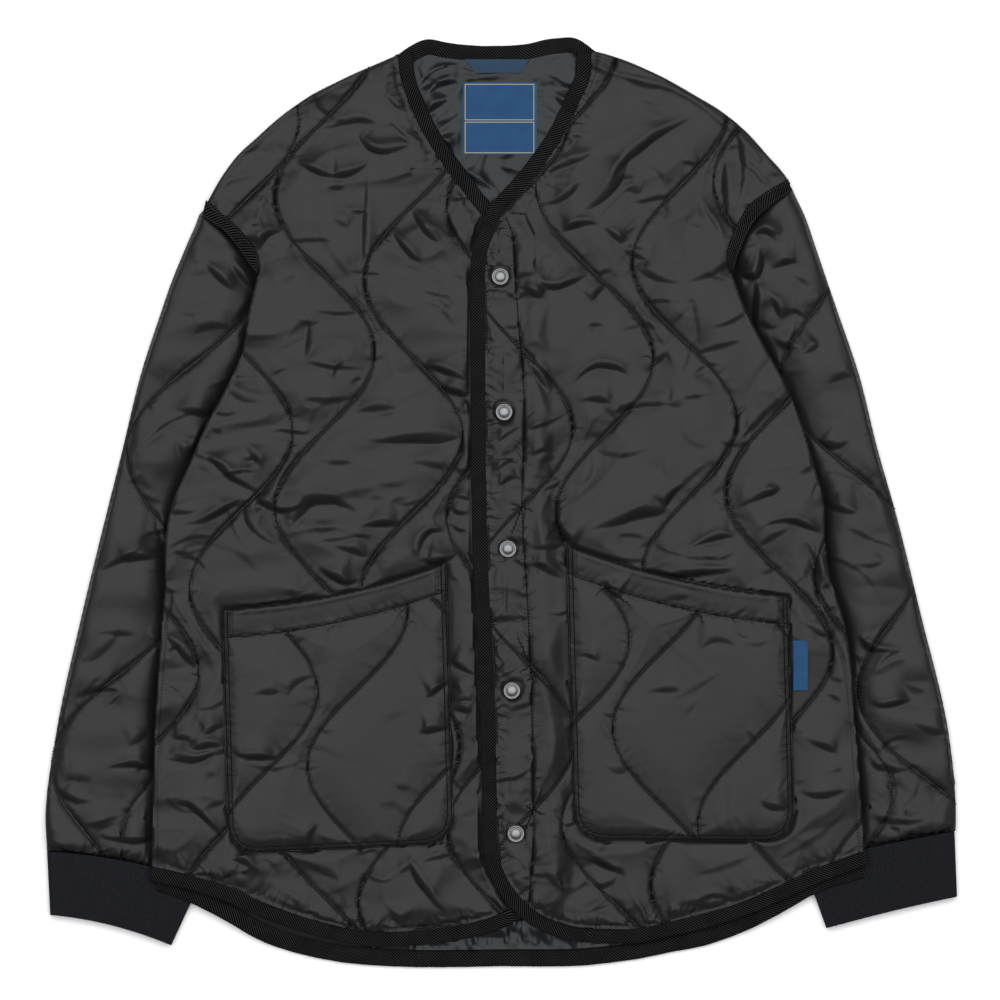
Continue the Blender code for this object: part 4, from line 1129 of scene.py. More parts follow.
def gathered(grid, lines, seed, every=5.0, most=1.0):
    """The short folds that run off a seam where its stitches gather the cloth: at random places
    along it, to either side and at a slant, they start at the stitches and fade over a random
    length, and a slow sum of sines makes them crowd in some places."""
    random = np.random.default_rng(seed)
    field = np.zeros(grid.x.shape)
    for line in lines:
        path = evenly(line[:, :2], 1.0)
        ahead = way_ahead(path)
        phases = random.uniform(0, 2 * math.pi, 2)
        places = np.cumsum(random.exponential(every, int(2 * len(path) / every) + 9)) + 2
        for at in places[places < len(path) - 2].astype(int):
            crowd = 0.55 + 0.3 * math.sin(at / 31 + phases[0]) + 0.3 * math.sin(at / 11 + phases[1])
            slant = random.normal(0, 0.55)
            side = random.choice((-1, 1))
            length = 6 + random.exponential(11.0)
            width = random.uniform(2.0, 3.8) * (1 + length / 60)
            height = most * crowd * random.uniform(0.4, 1.0)
            if height < 0.12 * most:
                continue
            normal = side * np.array([-ahead[at, 1], ahead[at, 0]])
            way = np.array([math.cos(slant) * normal[0] - math.sin(slant) * normal[1],
                            math.sin(slant) * normal[0] + math.cos(slant) * normal[1]])
            reach = length + 4 * width
            near = grid.window(path[at] - reach, path[at] + reach)
            x, y = grid.x[near] - path[at, 0], grid.y[near] - path[at, 1]
            out = x * way[0] + y * way[1]
            up = (y * way[0] - x * way[1]) * (1 if way[0] > 0 else -1)
            up = up - random.normal(0, 0.12) * out * np.clip(out / length, 0, 1)
            taper = eased(out / 1.6) * np.clip(1 - out / length, 0, 1) ** 0.7
            field[near] += height * taper * fold_form(up, width)
    return field


def laid(kinds):
    """Creases from a table that gives their points under each depth and width."""
    return [Crease(*kind, *points) for kind, rows in kinds.items() for points in rows]


FRONT_CREASES = {
    "right": laid({
        (3.4, 4.5): [(-164, 270, -144, 261, -132, 257), (-132, 257, -116, 261, -103, 270),
            (-112, 286, -93, 277, -71, 284), (-88, 216, -79, 203, -65, 190),
            (-71, 231, -61, 216, -49, 204), (-190, 203, -185, 211, -174, 215),
            (-61, 106, -45, 104, -27, 96), (-49, 92, -37, 87, -25, 85),
            (-232, 36, -213, 19, -190, 6), (-258, -18, -235, -14, -207, 2),
            (-193, 2, -175, -6, -156, 0), (-116, -24, -104, -18, -82, -16),
            (-144, -50, -128, -62, -112, -62), (-65, -42, -61, -26, -47, -24),
            (-61, -46, -49, -46, -33, -40), (-266, -105, -254, -117, -240, -134),
            (-243, -194, -231, -192, -216, -192), (-270, -201, -250, -204, -227, -198),
            (-254, -238, -239, -245, -221, -265), (-211, -281, -203, -284, -194, -293),
            (-73, -283, -61, -307, -43, -324), (-41, -166, -33, -164, -25, -166)],
        (2.6, 4.5): [(-106, 266, -107, 231, -111, 179)],
        (2.4, 5.0): [(-160, 282, -128, 300, -98, 298), (-118, 69, -100, 74, -81, 74),
            (-207, 44, -198, 40, -190, 29), (-136, -34, -124, -36, -106, -42),
            (-203, -5, -195, -22, -173, -36), (-235, -184, -227, -179, -216, -174),
            (-258, -186, -250, -186, -243, -191), (-94, -318, -85, -326, -79, -334),
            (-41, -125, -33, -129, -21, -137), (-160, 160, -152, 136, -156, 112)],
        (1.8, 2.6): [(-96, 329, -88, 318, -79, 309), (-93, 308, -81, 292, -65, 284),
            (-43, 246, -44, 227, -25, 193), (-219, 21, -207, 25, -195, 25),
            (-43, 9, -35, 4, -25, 2), (-41, -2, -35, -8, -25, -8), (-44, -14, -36, -21, -27, -22)],
        (1.4, 5.0): [(-137, 227, -128, 221, -122, 216), (-81, 25, -65, 31, -43, 27),
            (-160, 41, -136, 32, -118, 32), (-215, 88, -203, 81, -190, 79)],
        (3.8, 8.0): [(-118, 51, -85, 49, -32, 51), (-164, -16, -145, 2, -112, -10)],
        (1.6, 2.6): [(-191, 53, -179, 56, -153, 55)],
    }),
    "left": laid({
        (4.4, 8.5): [(50, 225, 81, 242, 99, 273)],
        (4.0, 6.5): [(86, 253, 108, 279, 150, 304)],
        (2.4, 5.0): [(32, 261, 50, 266, 73, 278), (28, 235, 46, 240, 63, 254),
            (97, 199, 109, 193, 117, 190), (109, 183, 125, 177, 142, 173),
            (70, 160, 77, 167, 85, 170), (58, 79, 73, 81, 85, 78), (92, 73, 109, 77, 137, 77),
            (113, 100, 121, 111, 131, 118), (180, -5, 200, 2, 220, 11), (-2, -24, 10, -30, 22, -34),
            (18, -36, 34, -36, 50, -30), (26, -50, 38, -54, 50, -63), (46, -46, 58, -55, 70, -62),
            (235, -93, 247, -100, 258, -109), (235, -184, 247, -190, 263, -198),
            (234, -228, 251, -231, 271, -228), (70, -279, 81, -287, 97, -291)],
        (1.8, 2.6): [(30, 274, 46, 282, 58, 288), (149, 250, 160, 232, 174, 207),
            (-3, 25, 5, 32, 14, 32), (-2, 13, 8, 19, 16, 17), (26, 37, 34, 41, 43, 40),
            (30, 9, 40, 13, 46, 19)],
        (3.4, 4.5): [(52, 215, 66, 220, 77, 218), (77, 218, 87, 213, 92, 205),
            (30, 174, 47, 170, 70, 182), (10, 171, 22, 166, 30, 161), (50, 81, 71, 107, 99, 100),
            (21, 112, 30, 100, 38, 87), (129, -2, 136, 8, 145, 14), (42, -14, 50, -26, 58, -34),
            (109, -54, 141, -58, 184, -52), (198, -26, 221, -15, 251, -24),
            (141, -42, 160, -30, 182, -28), (239, -30, 247, -46, 253, -66)],
        (2.6, 4.5): [(176, 274, 176, 250, 178, 227), (188, 286, 190, 262, 186, 235)],
        (1.6, 2.6): [(-2, 49, 8, 57, 18, 61), (18, 58, 34, 62, 54, 71)],
        (3.8, 8.0): [(62, -26, 93, -14, 129, -6)],
        (1.4, 5.0): [(62, 9, 71, 29, 66, 49), (77, 41, 93, 37, 117, 43),
            (149, 160, 156, 136, 153, 120), (172, 49, 184, 45, 204, 49),
            (93, 136, 109, 140, 125, 136)],
    }),
}
SIDE_SEAMS = {
    "right": [(261.5, -72), (267.8, -140), (271.8, -223), (271.8, -296)],
    "left": [(247.3, -34), (248, -61), (249.6, -77), (255.2, -94), (265.4, -117), (271, -140),
             (273.5, -165), (276.5, -200), (281, -267), (282, -300)],
}
flat_seams = {"left": [rounded(PLACKET)], "right": []}
shoulder_seam = rounded(SHOULDER_SEAM)
side_seams = {side: on_side(rounded(points), side) for side, points in SIDE_SEAMS.items()}
bound_fronts = {side: front_outline(side, 0) for side in SIDES}
pocket_cuts = {side: pocket_outline(side) for side in SIDES}
FRONT_PITCH = 1.45
LIP, CROWN_REACH = 0.22, 32    # the lip's share of the height, and where the crown is full


def puffed(grid, low, full, edge):
    """The wadding's height between seams and an edge: a small lip beside the stitches, then a slow
    crown. Where a seam runs aslant, a flat strip lies along it."""
    away = np.minimum(np.maximum(grid.seam - 0.8 * grid.steep, 0), 1.3 * edge)
    return low + (full - low) * (LIP * swell(away / 1.5) + (1 - LIP) * climbing(away, CROWN_REACH))


def make_front(side):
    cut = front_outline(side, BINDING_WIDTH - TUCKED_EDGE)
    other = "left" if side == "right" else "right"
    grid = Grid(cut, FRONT_PITCH)
    lap = grid.over(bound_fronts[other], 2, 17)
    bed = FRONT_BED + lift_over(grid)
    pocket = pocket_cuts[side]
    to_pocket = np.where(grid.inside(pocket), 0, grid.nearest([closed(pocket)])[0])
    pressed = eased(1 - to_pocket / 0.5)
    to_mouth = grid.nearest([pocket_mouth(side, 0)])[0]
    to_side_seam = grid.nearest([side_seams[side]])[0]
    to_shoulder_seam = grid.nearest([shoulder_seam])[0]
    if side == "left":
        bed = bed + OVERLAP_RISE * lap
    else:
        pressed = np.maximum(pressed, grid.over(bound_fronts["left"], 0.5, 2.5))
    fold = on_side(side_fold(side), side)
    top_fold = on_side(shoulder(side, getattr(FREE_EDGES[0], side)), side)
    to_fold = grid.nearest([fold, top_fold])[0]
    to_armhole = grid.nearest([on_side(armhole(side), side)])[0]
    waves = [wave(line) for line in BODY_WAVES[side]]
    edge_line = on_side(inset(free_edge(side), BINDING_WIDTH), side)
    grid.fit(cut, waves + flat_seams[side], [edge_line])
    placket = 1.0
    if side == "left":
        at_x = grid.nearest(flat_seams["left"])[1]
        placket = 1 - 0.5 * eased((at_x + 1 - grid.x) / 4) * (grid.y < PLACKET[0][1] - 3)
    to_binding = grid.marks["rim"][1] + TUCKED_EDGE
    thick = puffed(grid, STITCHED_WALL, SWOLLEN_WALL, np.minimum(to_binding, to_armhole))
    thick = STITCHED_WALL + (thick - STITCHED_WALL) * placket
    thick -= 0.7 * bell(to_side_seam, 1.2)
    thick += 3.2 * (patchy(grid, 9, 9 + len(side), 2.2) - 0.5) * swell(grid.seam / 25)
    thick = np.minimum(thick, PRESSED_WALL + 0.7 + 3.9 * climbing(to_pocket, 18))
    thick = np.minimum(thick, PRESSED_WALL + 4.6 * climbing(to_mouth, 9))
    if side == "left":
        to_snap = np.min([np.hypot(grid.x - x, grid.y - y) for x, y in snaps], axis=0)
        thick += (3.0 - thick) * eased(1 - (to_snap - SNAP_RADIUS) / 5)
        thick -= 1.3 * eased(1 - np.abs(to_snap - SNAP_RADIUS) / 1.5)
    thick += (PRESSED_WALL - thick) * pressed
    thick = np.maximum(thick, 0.9) * (0.72 + 0.28 * swell(to_fold / 1.8))
    near_seam = bell(grid.seam, NEAR_SEAM)
    near_edge = bell(grid.edge, 14) * (1 - swell(1 - to_fold / 20))
    patches = patchy(grid, 17, 5 + len(side))
    slack = SLACK + 0.04 * patches * (0.25 + near_seam) + 0.04 * near_edge
    grip = GRIP + SEAM_GRIP * near_seam + 0.25 * pressed
    top = settle(grid, bed + thick, (slack, slack + 0.05 * (1 - placket)), grip, bed + THINNEST,
                 3 + len(side), FRONT_STEPS)
    bare = (1 - pressed) * eased(to_pocket / 4) * eased(grid.edge / 3) * swell(to_fold / 5)
    gathers = gathered(grid, waves, 71 + len(side), 6.0, 1.2)
    gathers += gathered(grid, [edge_line, *flat_seams[side]], 73 + len(side), 3.6, 1.4)
    small = creased(grid, wrinkles(cut, 61 + len(side), 1100.0, 0.2 * SIDES[side]))
    top = top + bare * (creased(grid, FRONT_CREASES[side]) + gathers + small * swell(grid.seam / 4))
    if side == "left":
        top = top + 1.5 * bare * bell(to_shoulder_seam, 2.4)
    return grid, np.maximum(top, bed + THINNEST), bed


fronts = {}
for side in SIDES:
    grid, top, bed = fronts[side] = make_front(side)
    made = cloth_mesh(f"front_{side}_cloth", grid, top, bed, shell)
    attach(made, "root")
    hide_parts("front_" + side)

# ---------------------------------------------------------------- front bindings
# One strip of twill tape binds each front, from the shoulder down the V and the closing, round the
# corner and along the hem to the side seam.
body_lap = body_grid.over(bound_fronts["right"], 2, 17)
binding_rows = {}
for side in SIDES:
    edge = free_edge(side)
    beyond = np.outer((1, 2, 3), BINDING_RUN_ON)
    edge = on_side(np.vstack([edge, edge[-1] + beyond]), side)
    bed = FRONT_BED + lift_at(edge)
    if side == "left":
        bed = bed + OVERLAP_RISE * field_at(body_grid, body_lap, edge)
    made = swept(f"front_binding_{side}_twill", edge, bed, bound(BINDING_WIDTH, BINDING_WALL),
                 twill, wobble=BINDING_WOBBLE, seed=len(side))
    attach(made, "root")
    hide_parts("front_binding_" + side)
    binding_rows[side] = [np.column_stack([inset(edge, BINDING_WIDTH - BINDING_STITCH),
                                           bed + BINDING_WALL - 0.3])]

# ---------------------------------------------------------------- pockets
# Two patch pockets of the same quilted cloth, with a band turned down inside the mouth, two rows
# of stitches round the edge, and a bar at each end of the band.
POCKET_BAND = 22.0
POCKET_BED = FRONT_BED + PRESSED_WALL + 2 * GAP + 0.2
POCKET_SWOLLEN = 6.0
POCKET_PITCH = 1.4
POCKET_ROWS = (0.9, 4.1)       # the stitched rows' distances from the edge
POCKET_WAVES = {
    "right": [Wave(-185, -273, 0), Wave(-114, -209, 0), Wave(-43, -273, 0)],
    "left": [Wave(61, -232, 0), Wave(127, -179, 0), Wave(194, -255, 0)],
}
POCKET_CREASES = {
    "right": laid({
        (3.4, 4.5): [(-216, -192, -199, -201, -177, -201), (-61, -182, -51, -179, -41, -178),
            (-57, -152, -49, -147, -41, -143)],
        (2.4, 5.0): [(-152, -273, -152, -263, -145, -255)],
        (1.4, 5.0): [(-167, -149, -160, -141, -145, -137), (-199, -156, -190, -150, -175, -149)],
    }),
    "left": laid({
        (3.4, 4.5): [(81, -60, 88, -70, 95, -75)],
        (1.8, 2.6): [(54, -121, 66, -121, 77, -126)],
        (2.4, 5.0): [(204, -235, 213, -240, 226, -240)],
        (1.4, 5.0): [(109, -156, 121, -149, 141, -149), (156, -117, 168, -109, 184, -113),
            (77, -204, 89, -212, 101, -212)],
    }),
}


pocket_shell = shell_finish("charcoal pocket nylon", POCKET_ROWS, 9.0, 3.0, 0.6)
pockets, pocket_seams = {}, {}
for side in SIDES:
    cut = pocket_cuts[side]
    grid = Grid(cut, POCKET_PITCH)
    bed = POCKET_BED + lift_over(grid)
    band = pocket_mouth(side, POCKET_BAND)
    left_to_right = band[np.argsort(band[:, 0])]
    seams = [band]
    for line in POCKET_WAVES[side]:
        path = wave(line, 0, -300)
        seams.append(path[path[:, 1] < np.interp(path[:, 0], *left_to_right.T) - 1])
    rim = pocket_sides(side)
    to_mouth = grid.nearest([pocket_mouth(side, 0)])[0]
    grid.fit(cut, seams, [rim])
    to_rim = grid.marks["rim"][1]
    thick = puffed(grid, STITCHED_WALL, POCKET_SWOLLEN, to_rim)
    thick = np.minimum(thick, 1.6 + 4.4 * climbing(to_rim - 0.5, 18))
    thick *= 0.5 + 0.5 * swell(to_mouth / 2.5)
    near_seam = bell(grid.seam, NEAR_SEAM) + bell(to_rim, NEAR_SEAM)
    slack = POCKET_SLACK + 0.04 * patchy(grid, 14, 21 + len(side)) * (0.2 + near_seam)
    top = settle(grid, bed + thick, (slack, slack), 0.04 + 0.1 * near_seam, bed + THINNEST,
                 31 + len(side), STEPS)
    small = creased(grid, wrinkles(cut, 65 + len(side), 3500.0))
    folds = creased(grid, POCKET_CREASES[side]) + 0.6 * small
    folds += gathered(grid, seams, 75 + len(side), 5.0, 0.8)
    folds += gathered(grid, [rim], 77 + len(side), 4.0, 0.7)
    top = np.maximum(top + folds * eased(grid.edge / 3), bed + THINNEST)
    pockets[side], pocket_seams[side] = (grid, top, bed), seams[1:]
    made = cloth_mesh(f"pocket_{side}_cloth", grid, top, bed, pocket_shell)
    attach(made, "root")
    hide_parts("pocket_" + side)

# ---------------------------------------------------------------- sleeves
# Each sleeve is one quilted tube that lies flat beside the body and a little under it, filled out
# by its wadding. The cloth gathers where it meets the cuff.
SLEEVE_WALLS = 14.0
SLEEVE_STITCHED = 9.0
SLEEVE_PITCH = 1.5
TUBE_MIDDLE = 4.0
SLEEVE_FOLDS = listed(Level,
    (244, 237, 231), (226, 240, 239.5), (203, 249.5, 247.5), (175, 261, 257), (146, 271, 267),
    (105, 284.5, 281), (38, 301, 298), (0, 310.5, 309), (-90, 332.5, 331.5), (-185, 353, 353.5),
    (-248, 361, 359), (-276, 360, 358))
CUFF_BOW = {"right": 4, "left": 1}
SLEEVE_WAVES = {
    "right": [Wave(-268.5, 49, 0.24), Wave(-200, -12, 0.24)],
    "left": [Wave(281.5, -159, -0.25), Wave(212.5, -97, -0.25)],
}
SLEEVE_CREASES = {
    "right": laid({
        (3.4, 4.5): [(-235, 190, -226, 179, -213, 166), (-216, 195, -209, 182, -195, 167),
            (-318, -212, -298, -207, -276, -212), (-322, -261, -298, -267, -276, -265),
            (-246, 37, -239, 49, -229, 66)],
        (1.6, 2.6): [(-221, 202, -216, 205, -211, 205)],
        (2.4, 5.0): [(-266, 74, -250, 72, -229, 69), (-341, -156, -325, -149, -302, -149),
            (-278, 2, -270, -14, -266, -34), (-302, -46, -286, -43, -270, -46),
            (-349, -228, -337, -235, -322, -235)],
        (2.6, 4.5): [(-254, 49, -251, 37, -246, 32)],
        (1.4, 5.0): [(-239, 136, -227, 140, -211, 136), (-322, -109, -310, -103, -290, -105)],
    }),
    "left": laid({
        (3.4, 4.5): [(198, 211, 208, 214, 218, 205), (201, 174, 205, 190, 202, 203),
            (212, 183, 223, 190, 234, 190), (184, 179, 193, 179, 201, 175),
            (201, 174, 201, 152, 202, 132), (208, 167, 216, 156, 220, 144),
            (283, -109, 295, -117, 314, -115), (289, -156, 303, -160, 322, -156)],
        (1.6, 2.6): [(222, 148, 231, 151, 239, 145)],
        (2.4, 5.0): [(235, 116, 243, 121, 251, 126), (212, 132, 224, 124, 235, 122),
            (251, 49, 263, 45, 275, 49), (255, 2, 267, -6, 283, -8),
            (291, -204, 307, -212, 330, -208), (295, -247, 310, -253, 334, -251)],
        (1.4, 5.0): [(259, 96, 271, 100, 283, 98), (275, -46, 287, -50, 303, -46)],
    }),
}


def sleeve_fold(side):
    heights = np.arange(CUFF_TOP_OUT[side][1], SHOULDER_TIP[side][1] - 6, 2.0)
    return evenly(table_line(SLEEVE_FOLDS, side, heights))


def cuff_line(start, end, side):
    """The cuff's seam or its end, slightly curved."""
    start, end = np.array(start, float), np.array(end, float)
    return bowed(start, (start + end) / 2 + (0, 2 * CUFF_BOW[side]), end)


def sleeve_outline(side):
    """Up the outer fold, over the armhole's end, down the hidden inner fold and along the cuff."""
    tip, underarm = np.array(SHOULDER_TIP[side]), np.array(UNDERARM[side])
    end = inset(armhole(side), -GAP)[::-1]
    return on_side(joined(sleeve_fold(side), [tip + (1, -2)], end[1:-1],
                          straight(underarm + (GAP, -GAP), HIDDEN_UNDERARM, CUFF_TOP_IN[side])[:-1],
                          cuff_line(CUFF_TOP_IN[side], CUFF_TOP_OUT[side], side)[:-1]), side)


sleeve_waves = {side: [wave(line, 300, -300) for line in SLEEVE_WAVES[side]] for side in SIDES}
sleeves, to_body_of = {}, {}
for side in SIDES:
    cut = sleeve_outline(side)
    grid = Grid(cut, SLEEVE_PITCH)
    to_body = np.where(grid.inside(TUCKS[side]), 0, grid.nearest([closed(TUCKS[side])])[0])
    tuck = 1 - climbing(to_body, 24)
    cuff_seam = on_side(cuff_line(CUFF_TOP_IN[side], CUFF_TOP_OUT[side], side), side)
    grid.fit(cut, sleeve_waves[side], [cuff_seam])
    grid.held = grid.edge < 0.5 * grid.pitch
    thick = puffed(grid, SLEEVE_STITCHED, SLEEVE_WALLS, 1e6)
    thick += 2.6 * (patchy(grid, 9, 15 + len(side), 2.0) - 0.5) * swell(grid.seam / 25)
    thick += (TUCKED_SLEEVE - 0.5 - thick) * tuck
    surface = TUBE_MIDDLE + (thick - TUBE_MIDDLE) * swell(grid.edge / 12)
    near_seam = bell(grid.seam, NEAR_SEAM)
    near_cuff = bell(grid.marks["rim"][1], 22)
    slack = SLACK + 0.045 * patchy(grid, 17, 41 + len(side)) * (0.25 + near_seam)
    grip = GRIP + SEAM_GRIP * near_seam + 0.3 * eased(tuck * 2 - 1)
    top = settle(grid, surface, (slack + 0.07 * near_cuff, slack), grip,
                 np.full(surface.shape, TUBE_MIDDLE), 51 + len(side), STEPS)
    small = wrinkles(cut, 63 + len(side), 1300.0, -0.2 * SIDES[side])
    folds = creased(grid, SLEEVE_CREASES[side] + small)
    folds += gathered(grid, sleeve_waves[side], 81 + len(side), 5.0, 1.3)
    folds += gathered(grid, [cuff_seam], 83 + len(side), 3.0, 1.8)
    top = np.maximum(top + folds * swell((to_body - 0.4) / 4) * eased(grid.edge / 12), TUBE_MIDDLE)
    sleeves[side], to_body_of[side] = (grid, top), to_body
    under = TUBE_MIDDLE * (1 - swell(grid.edge / 8))
    made = cloth_mesh(f"sleeve_{side}_cloth", grid, top, under, shell, rings=9.0,
                      hollow=cavity(grid, TUBE_MIDDLE - 0.3, TUBE_MIDDLE + 0.3, 8.0, 4))
    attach(made, "root")
    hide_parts("sleeve_" + side)

# ---------------------------------------------------------------- armhole tapes
# Twill tape covers each armhole's seam, laid over both pieces that meet there and stitched along
# its two edges.
TAPE_WALL = 1.5
TAPE_COUNT = 66                # steps along it
TAPE_ROWS = (0.14, 0.86)       # the stitched rows, as shares of the width
TAPE_SECTION = [(0, 0), (0, 0.8), (0.08, 1), (TAPE_ROWS[0], 0.6), (0.2, 1), (0.8, 1),
                (TAPE_ROWS[1], 0.6), (0.92, 1), (1, 0.8), (1, 0)]    # shares of width and wall
TAPES = {         # the upper edge, then the lower one, from the shoulder to the underarm
    "right": ([(233.8, 238.6), (203, 210), (192.8, 194.3), (191.2, 186.4)],
              [(237, 225), (218.8, 213.3), (208.6, 200.7), (197.5, 184.9), (193.6, 180.1)]),
    "left": ([(225.9, 255.2), (198.3, 237), (188, 223.6), (181.7, 210.1), (177.8, 194.3),
              (180.1, 182.5)],
             [(229.1, 245.7), (210.1, 232.3), (199.9, 222), (189.6, 203), (185.7, 192.8),
              (182.5, 180.9)]),
}
for side in SIDES:
    upper, lower = (rounded(edge, 0.5) for edge in TAPES[side])
    spans = np.linspace(0, 1, TAPE_COUNT)
    upper, lower = (read_off(spans, np.linspace(0, 1, len(edge)), edge) * (SIDES[side], 1)
                    for edge in (upper, lower))
    if side == "right":
        upper, lower = upper[::-1], lower[::-1]
    heights = []
    for across in np.linspace(0, 1, 9):
        at = lower + across * (upper - lower)
        under = []
        for grid, top in (fronts[side][:2], sleeves[side]):
            under.append(np.where(kept_at(grid, at) > 0.99, field_at(grid, top, at), 0))
        heights.append(np.max(under, axis=0))
    heights = np.max(heights, axis=0)
    heights = np.max([np.interp(spans + shift / TAPE_COUNT, spans, heights)
                      for shift in range(-2, 3)], axis=0)
    heights = np.convolve(np.pad(heights, 2, mode="edge"), np.ones(5) / 5, mode="valid") + GAP
    section = np.array(TAPE_SECTION) * (1, TAPE_WALL)
    made = swept(f"armhole_tape_{side}_twill", lower, heights, section, twill, wobble=0.1, seed=61,
                 towards=upper)
    for across in TAPE_ROWS:
        binding_rows[side].append(np.column_stack([lower + across * (upper - lower),
                                                   heights + 0.6 * TAPE_WALL + 0.15]))
    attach(made, "root")
    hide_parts("armhole_tape_" + side)

# ---------------------------------------------------------------- cuffs
# The cuffs are tubes of rib knit in navy black, two layers deep, sewn to the gathered sleeve. Ribs
# run down each of them, and are raised where it faces up.
CUFF_WALLS = 8.4
CUFF_WALL = 2.2
RIB_PITCH = 2.1
RIB_RISE = 0.3
KNIT_LOOP = 1.3                # the loops' height along a rib
KNIT_NAVY = (0.0098, 0.0102, 0.0128)
CUFF_LENGTH = 62.0
CUFF_ROWS = (30, 8)            # rings along the outside and the inside
knit = Finish("navy-black rib knit", KNIT_NAVY, 0.92, Specular_IOR_Level=0.05)
knit_along, knit_across = knit.cut()
knit_rib = knit_along.stripes(RIB_PITCH * MM)
knit_loop = knit_across.stripes(KNIT_LOOP * MM, knit_rib * 3.0)
knit_relief = knit_rib * 0.42 + knit_loop * 0.23 + knit.noise(900.0, 1.0).fade(0.62, 0.38) * 0.35
# The ribs and loops are painted lighter where raised and darker between: painted light and shade.
# The speckle is tone that differs at random.
knit.shade(KNIT_NAVY, knit_relief, 0.6, 1.35)
knit.bump(knit_relief, 0.35, 0.8)


def tube_section(width, height, count):
    """Round a flattened tube from its slit: points at even steps round a stadium, as fractions
    across from 0 to 1 and heights."""
    radius = height / 2
    left = radius + radius * arc(np.linspace(0.5 * math.pi, 1.5 * math.pi, 24))
    right = np.array([width, height]) - left
    ring = evenly(np.vstack([left, right, left[:1]]), 0.2)
    places = np.arange(len(ring))
    return read_off(np.linspace(0, places[-1], count, endpoint=False), places, ring)


for side in SIDES:
    seam = cuff_line(CUFF_TOP_OUT[side], CUFF_TOP_IN[side], side) - (0, GAP)
    end = cuff_line(CUFF_END_OUT[side], CUFF_END_IN[side], side)
    girth = 2 * distance_run(seam)[-1]
    count = round(girth / RIB_PITCH) * 6
    rings = []
    for inside, low, high in ((False, 0.0, 1.0), (True, 1.0, 0.0)):
        shrink = CUFF_WALL if inside else 0.0
        around = tube_section(girth / 2 - 2 * shrink, CUFF_WALLS - 2 * shrink, count)
        across = (around[:, 0] + shrink) / (girth / 2)
        lift = np.where(around[:, 1] + shrink > CUFF_WALLS / 2, 1, 0)
        ridge = 0.0 if inside else RIB_RISE * np.sin(2 * math.pi * np.arange(count) / 6)
        for t in np.linspace(low, high, CUFF_ROWS[inside]):
            top_line, end_line = (read_off(across, np.linspace(0, 1, len(line)), line)
                                  for line in (seam, end))
            flat = (1 - t) * top_line + t * end_line
            height = shrink + around[:, 1] + ridge * lift
            flat = on_side(flat, side)[::SIDES[side]]
            rings.append(np.column_stack([flat, np.maximum(height, 0)]))
    verts = np.vstack(rings)
    i, j, faces = strip_faces(len(rings), count, looped=True)
    made = put(f"cuff_{side}_knit", verts, faces[:, ::SIDES[side]].tolist(), knit)
    along = np.stack([j, j, j + 1, j + 1], -1).reshape(-1, 4)[:, ::SIDES[side]] * (girth / count)
    down = np.stack([i, i + 1, i + 1, i], -1).reshape(-1, 4)[:, ::SIDES[side]]
    set_cut(made, along.ravel(), down.ravel() * (CUFF_LENGTH / CUFF_ROWS[0]))
    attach(made, "root")
    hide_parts("cuff_" + side)

# ---------------------------------------------------------------- thread
# Black thread holds the nylon's seams, and charcoal thread the bindings and the tapes. Each stitch
# is a bead of thread, and the stitches of one piece are one mesh.
THREAD_RADIUS = 0.32


def thread_finish(name, level):
    made = Finish(name, (level, level, 1.05 * level), 0.75, Specular_IOR_Level=0.05)
    made.shade((level, level, 1.05 * level), made.noise(1500.0, 1.0), 0.6, 1.5)
    return made


black_thread = thread_finish("black thread", 0.0016)
grey_thread = thread_finish("charcoal thread", 0.030)


def sewing(name, rows, thread=black_thread, spacing=THREAD_PITCH, share=0.66):
    """Beads of thread at an even spacing along rows of x, y and z. Each has two tips and two rings
    of four points, set along the row, across it and up."""
    spots, ways = [], []
    for row in rows:
        run = distance_run(row)
        at = np.arange(0.5 * spacing, run[-1], spacing)
        ahead, back, here = (read_off(at + step, run, row) for step in (0.6, -0.6, 0))
        spots.append(here)
        ways.append(ahead - back)
    spots, ways = np.vstack(spots), np.vstack(ways)
    ways /= np.linalg.norm(ways, axis=1, keepdims=True)
    across = np.cross(ways, (0, 0, 1))
    across /= np.linalg.norm(across, axis=1, keepdims=True)
    half, r = 0.5 * share * spacing, THREAD_RADIUS
    ring = [(0, r), (r, 0), (0, -r), (-r, 0)]
    form = np.array([(-half, 0, -r)] + [(-0.55 * half, *spot) for spot in ring]
                    + [(0.55 * half, *spot) for spot in ring] + [(half, 0, -r)])
    verts = (spots[:, None] + form[:, :1] * ways[:, None] + form[:, 1:2] * across[:, None]
             + form[:, 2:] * np.cross(across, ways)[:, None])
    faces = [(0, 1 + (k + 1) % 4, 1 + k) for k in range(4)]
    faces += [(9, 5 + k, 5 + (k + 1) % 4) for k in range(4)]
    walls = [(1 + k, 1 + (k + 1) % 4, 5 + (k + 1) % 4, 5 + k) for k in range(4)]
    starts = 10 * np.arange(len(spots))[:, None, None]
    every = [face for kind in (faces, walls)
             for face in (starts + kind).reshape(-1, len(kind[0])).tolist()]
    made = put(name, verts.reshape(-1, 3), every, thread)
    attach(made, "root")


def laid_on(grid, top, lines, hidden):
    """The stretches of some lines that show on a cloth, as x, y and z on its face."""
    rows = []
    for line in lines:
        path = evenly(line[:, :2], 1.0)
        kept = kept_at(grid, path) > 0.4
        shown = kept & (field_at(grid, hidden, path) < 0.01)
        changes = np.flatnonzero(np.diff(shown.astype(int))) + 1
        for stretch in np.split(np.arange(len(path)), changes):
            if shown[stretch[0]] and len(stretch) > 6:
                height = field_at(grid, top, path[stretch]) + 0.1
                rows.append(np.column_stack([path[stretch], height]))
    return rows


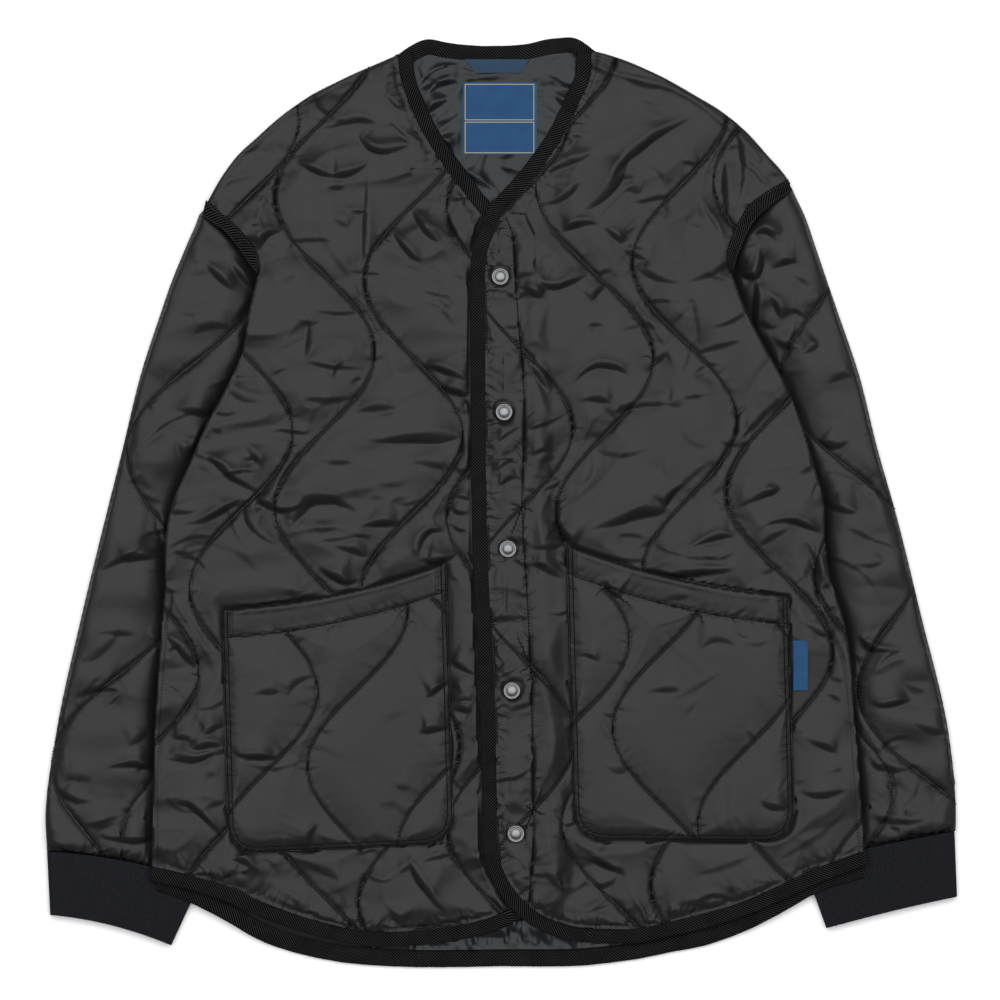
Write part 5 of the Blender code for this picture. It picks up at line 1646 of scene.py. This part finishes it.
for side in SIDES:
    grid, top, _ = fronts[side]
    under = grid.inside(pocket_cuts[side]) * 1.0
    if side == "right":
        under = under + grid.inside(bound_fronts["left"])
    seams = [wave(line) for line in BODY_WAVES[side]] + flat_seams[side] + [side_seams[side]]
    sewing(f"front_{side}_thread", laid_on(grid, top, seams, under))
    grid, top, _ = pockets[side]
    rim = pocket_sides(side)
    mouth = pocket_mouth(side, 0)
    bars = []
    for end in (0, -1):
        inward = (mouth[-1 - end] - mouth[end]) / np.linalg.norm(mouth[-1] - mouth[0])
        bars += [mouth[end] + (0, -down) + np.outer((3.2, 10.2), inward)
                 for down in np.arange(1.6, POCKET_BAND, 1.9)]
    rows = [inset(rim, row) for row in POCKET_ROWS] + [pocket_mouth(side, POCKET_BAND)]
    sewing(f"pocket_{side}_thread",
           laid_on(grid, top, rows + pocket_seams[side] + bars, 0.0 * top), spacing=2.2)
    grid, top = sleeves[side]
    sewing(f"sleeve_{side}_thread",
           laid_on(grid, top, sleeve_waves[side], (to_body_of[side] < 1) * 1.0))
    sewing(f"bindings_{side}_thread", binding_rows[side], grey_thread, 2.0, 0.55)

# ---------------------------------------------------------------- pocket tag
# A folded woven tag, blue and otherwise bare, is sewn into the left pocket's outer edge and lies on
# the front beside it.
TAG_SIZE, TAG_MIDDLE, TAG_PITCH = (12.0, 39.5), (235.5, -129.0), 0.8
tag_cut = rectangle(TAG_MIDDLE, TAG_SIZE)
tag_grid = Grid(tag_cut, TAG_PITCH).fit(tag_cut, [])
tag_bed = field_at(*fronts["left"][:2], tag_grid.spots()[tag_grid.keep.ravel()]).max() + 0.4
tag_top = tag_bed + 1.0 + 0.3 * np.sin((tag_grid.y + 110) / 9.0)
made = cloth_mesh("pocket_tag_woven", tag_grid, tag_top, np.full(tag_top.shape, tag_bed), woven)
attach(made, "root")
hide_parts("pocket_tag")

# ---------------------------------------------------------------- snaps
# Five press snaps close the fronts. Their caps are spun from dark nickel: a ring round a low dome,
# each turned from one profile.
SNAP_PROFILE = [(0, 3.0), (1.6, 2.92), (3.0, 2.62), (4.1, 2.1), (4.7, 1.75), (5.0, 1.7),
                (5.4, 1.95), (5.9, 2.15), (6.4, 2.05), (6.8, 1.6), (7.0, 1.0), (7.0, 0.3), (6.8, 0)]
SNAP_CORNERS = 48
NICKEL = (0.15, 0.152, 0.155)
nickel = Finish("dark nickel", NICKEL, 0.32, Metallic=1.0)
worn = nickel.noise(420.0, 3.0)
nickel.feed("Roughness", 0.26 + worn * 0.22)
nickel.shade(NICKEL, worn, 0.75, 1.2)
snap_round = arc(np.linspace(0, 2 * math.pi, SNAP_CORNERS, endpoint=False))
fine_profile = rounded(SNAP_PROFILE, 0.28)
for number, spot in enumerate(snaps, 1):
    bed = GAP + max(field_at(*fronts["left"][:2], spot + reach * SNAP_RADIUS * snap_round).max()
                    for reach in (1, 0.6, 0.1))
    out, up = fine_profile[1:].T
    total, around = len(out), SNAP_CORNERS
    verts = np.dstack([spot + out[:, None, None] * snap_round,
                       np.repeat(bed + up[:, None], around, axis=1)]).reshape(-1, 3)
    verts = np.vstack([verts, [(*spot, bed + fine_profile[0, 1])]])
    faces = strip_faces(total, around)[2].tolist()
    faces += [[total * around, at, (at + 1) % around] for at in range(around)]
    made = put(f"snap_{number}_cap", verts, faces + [last_ring(total, around)], nickel)
    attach(made, "root")
    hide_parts(f"snap_{number}")
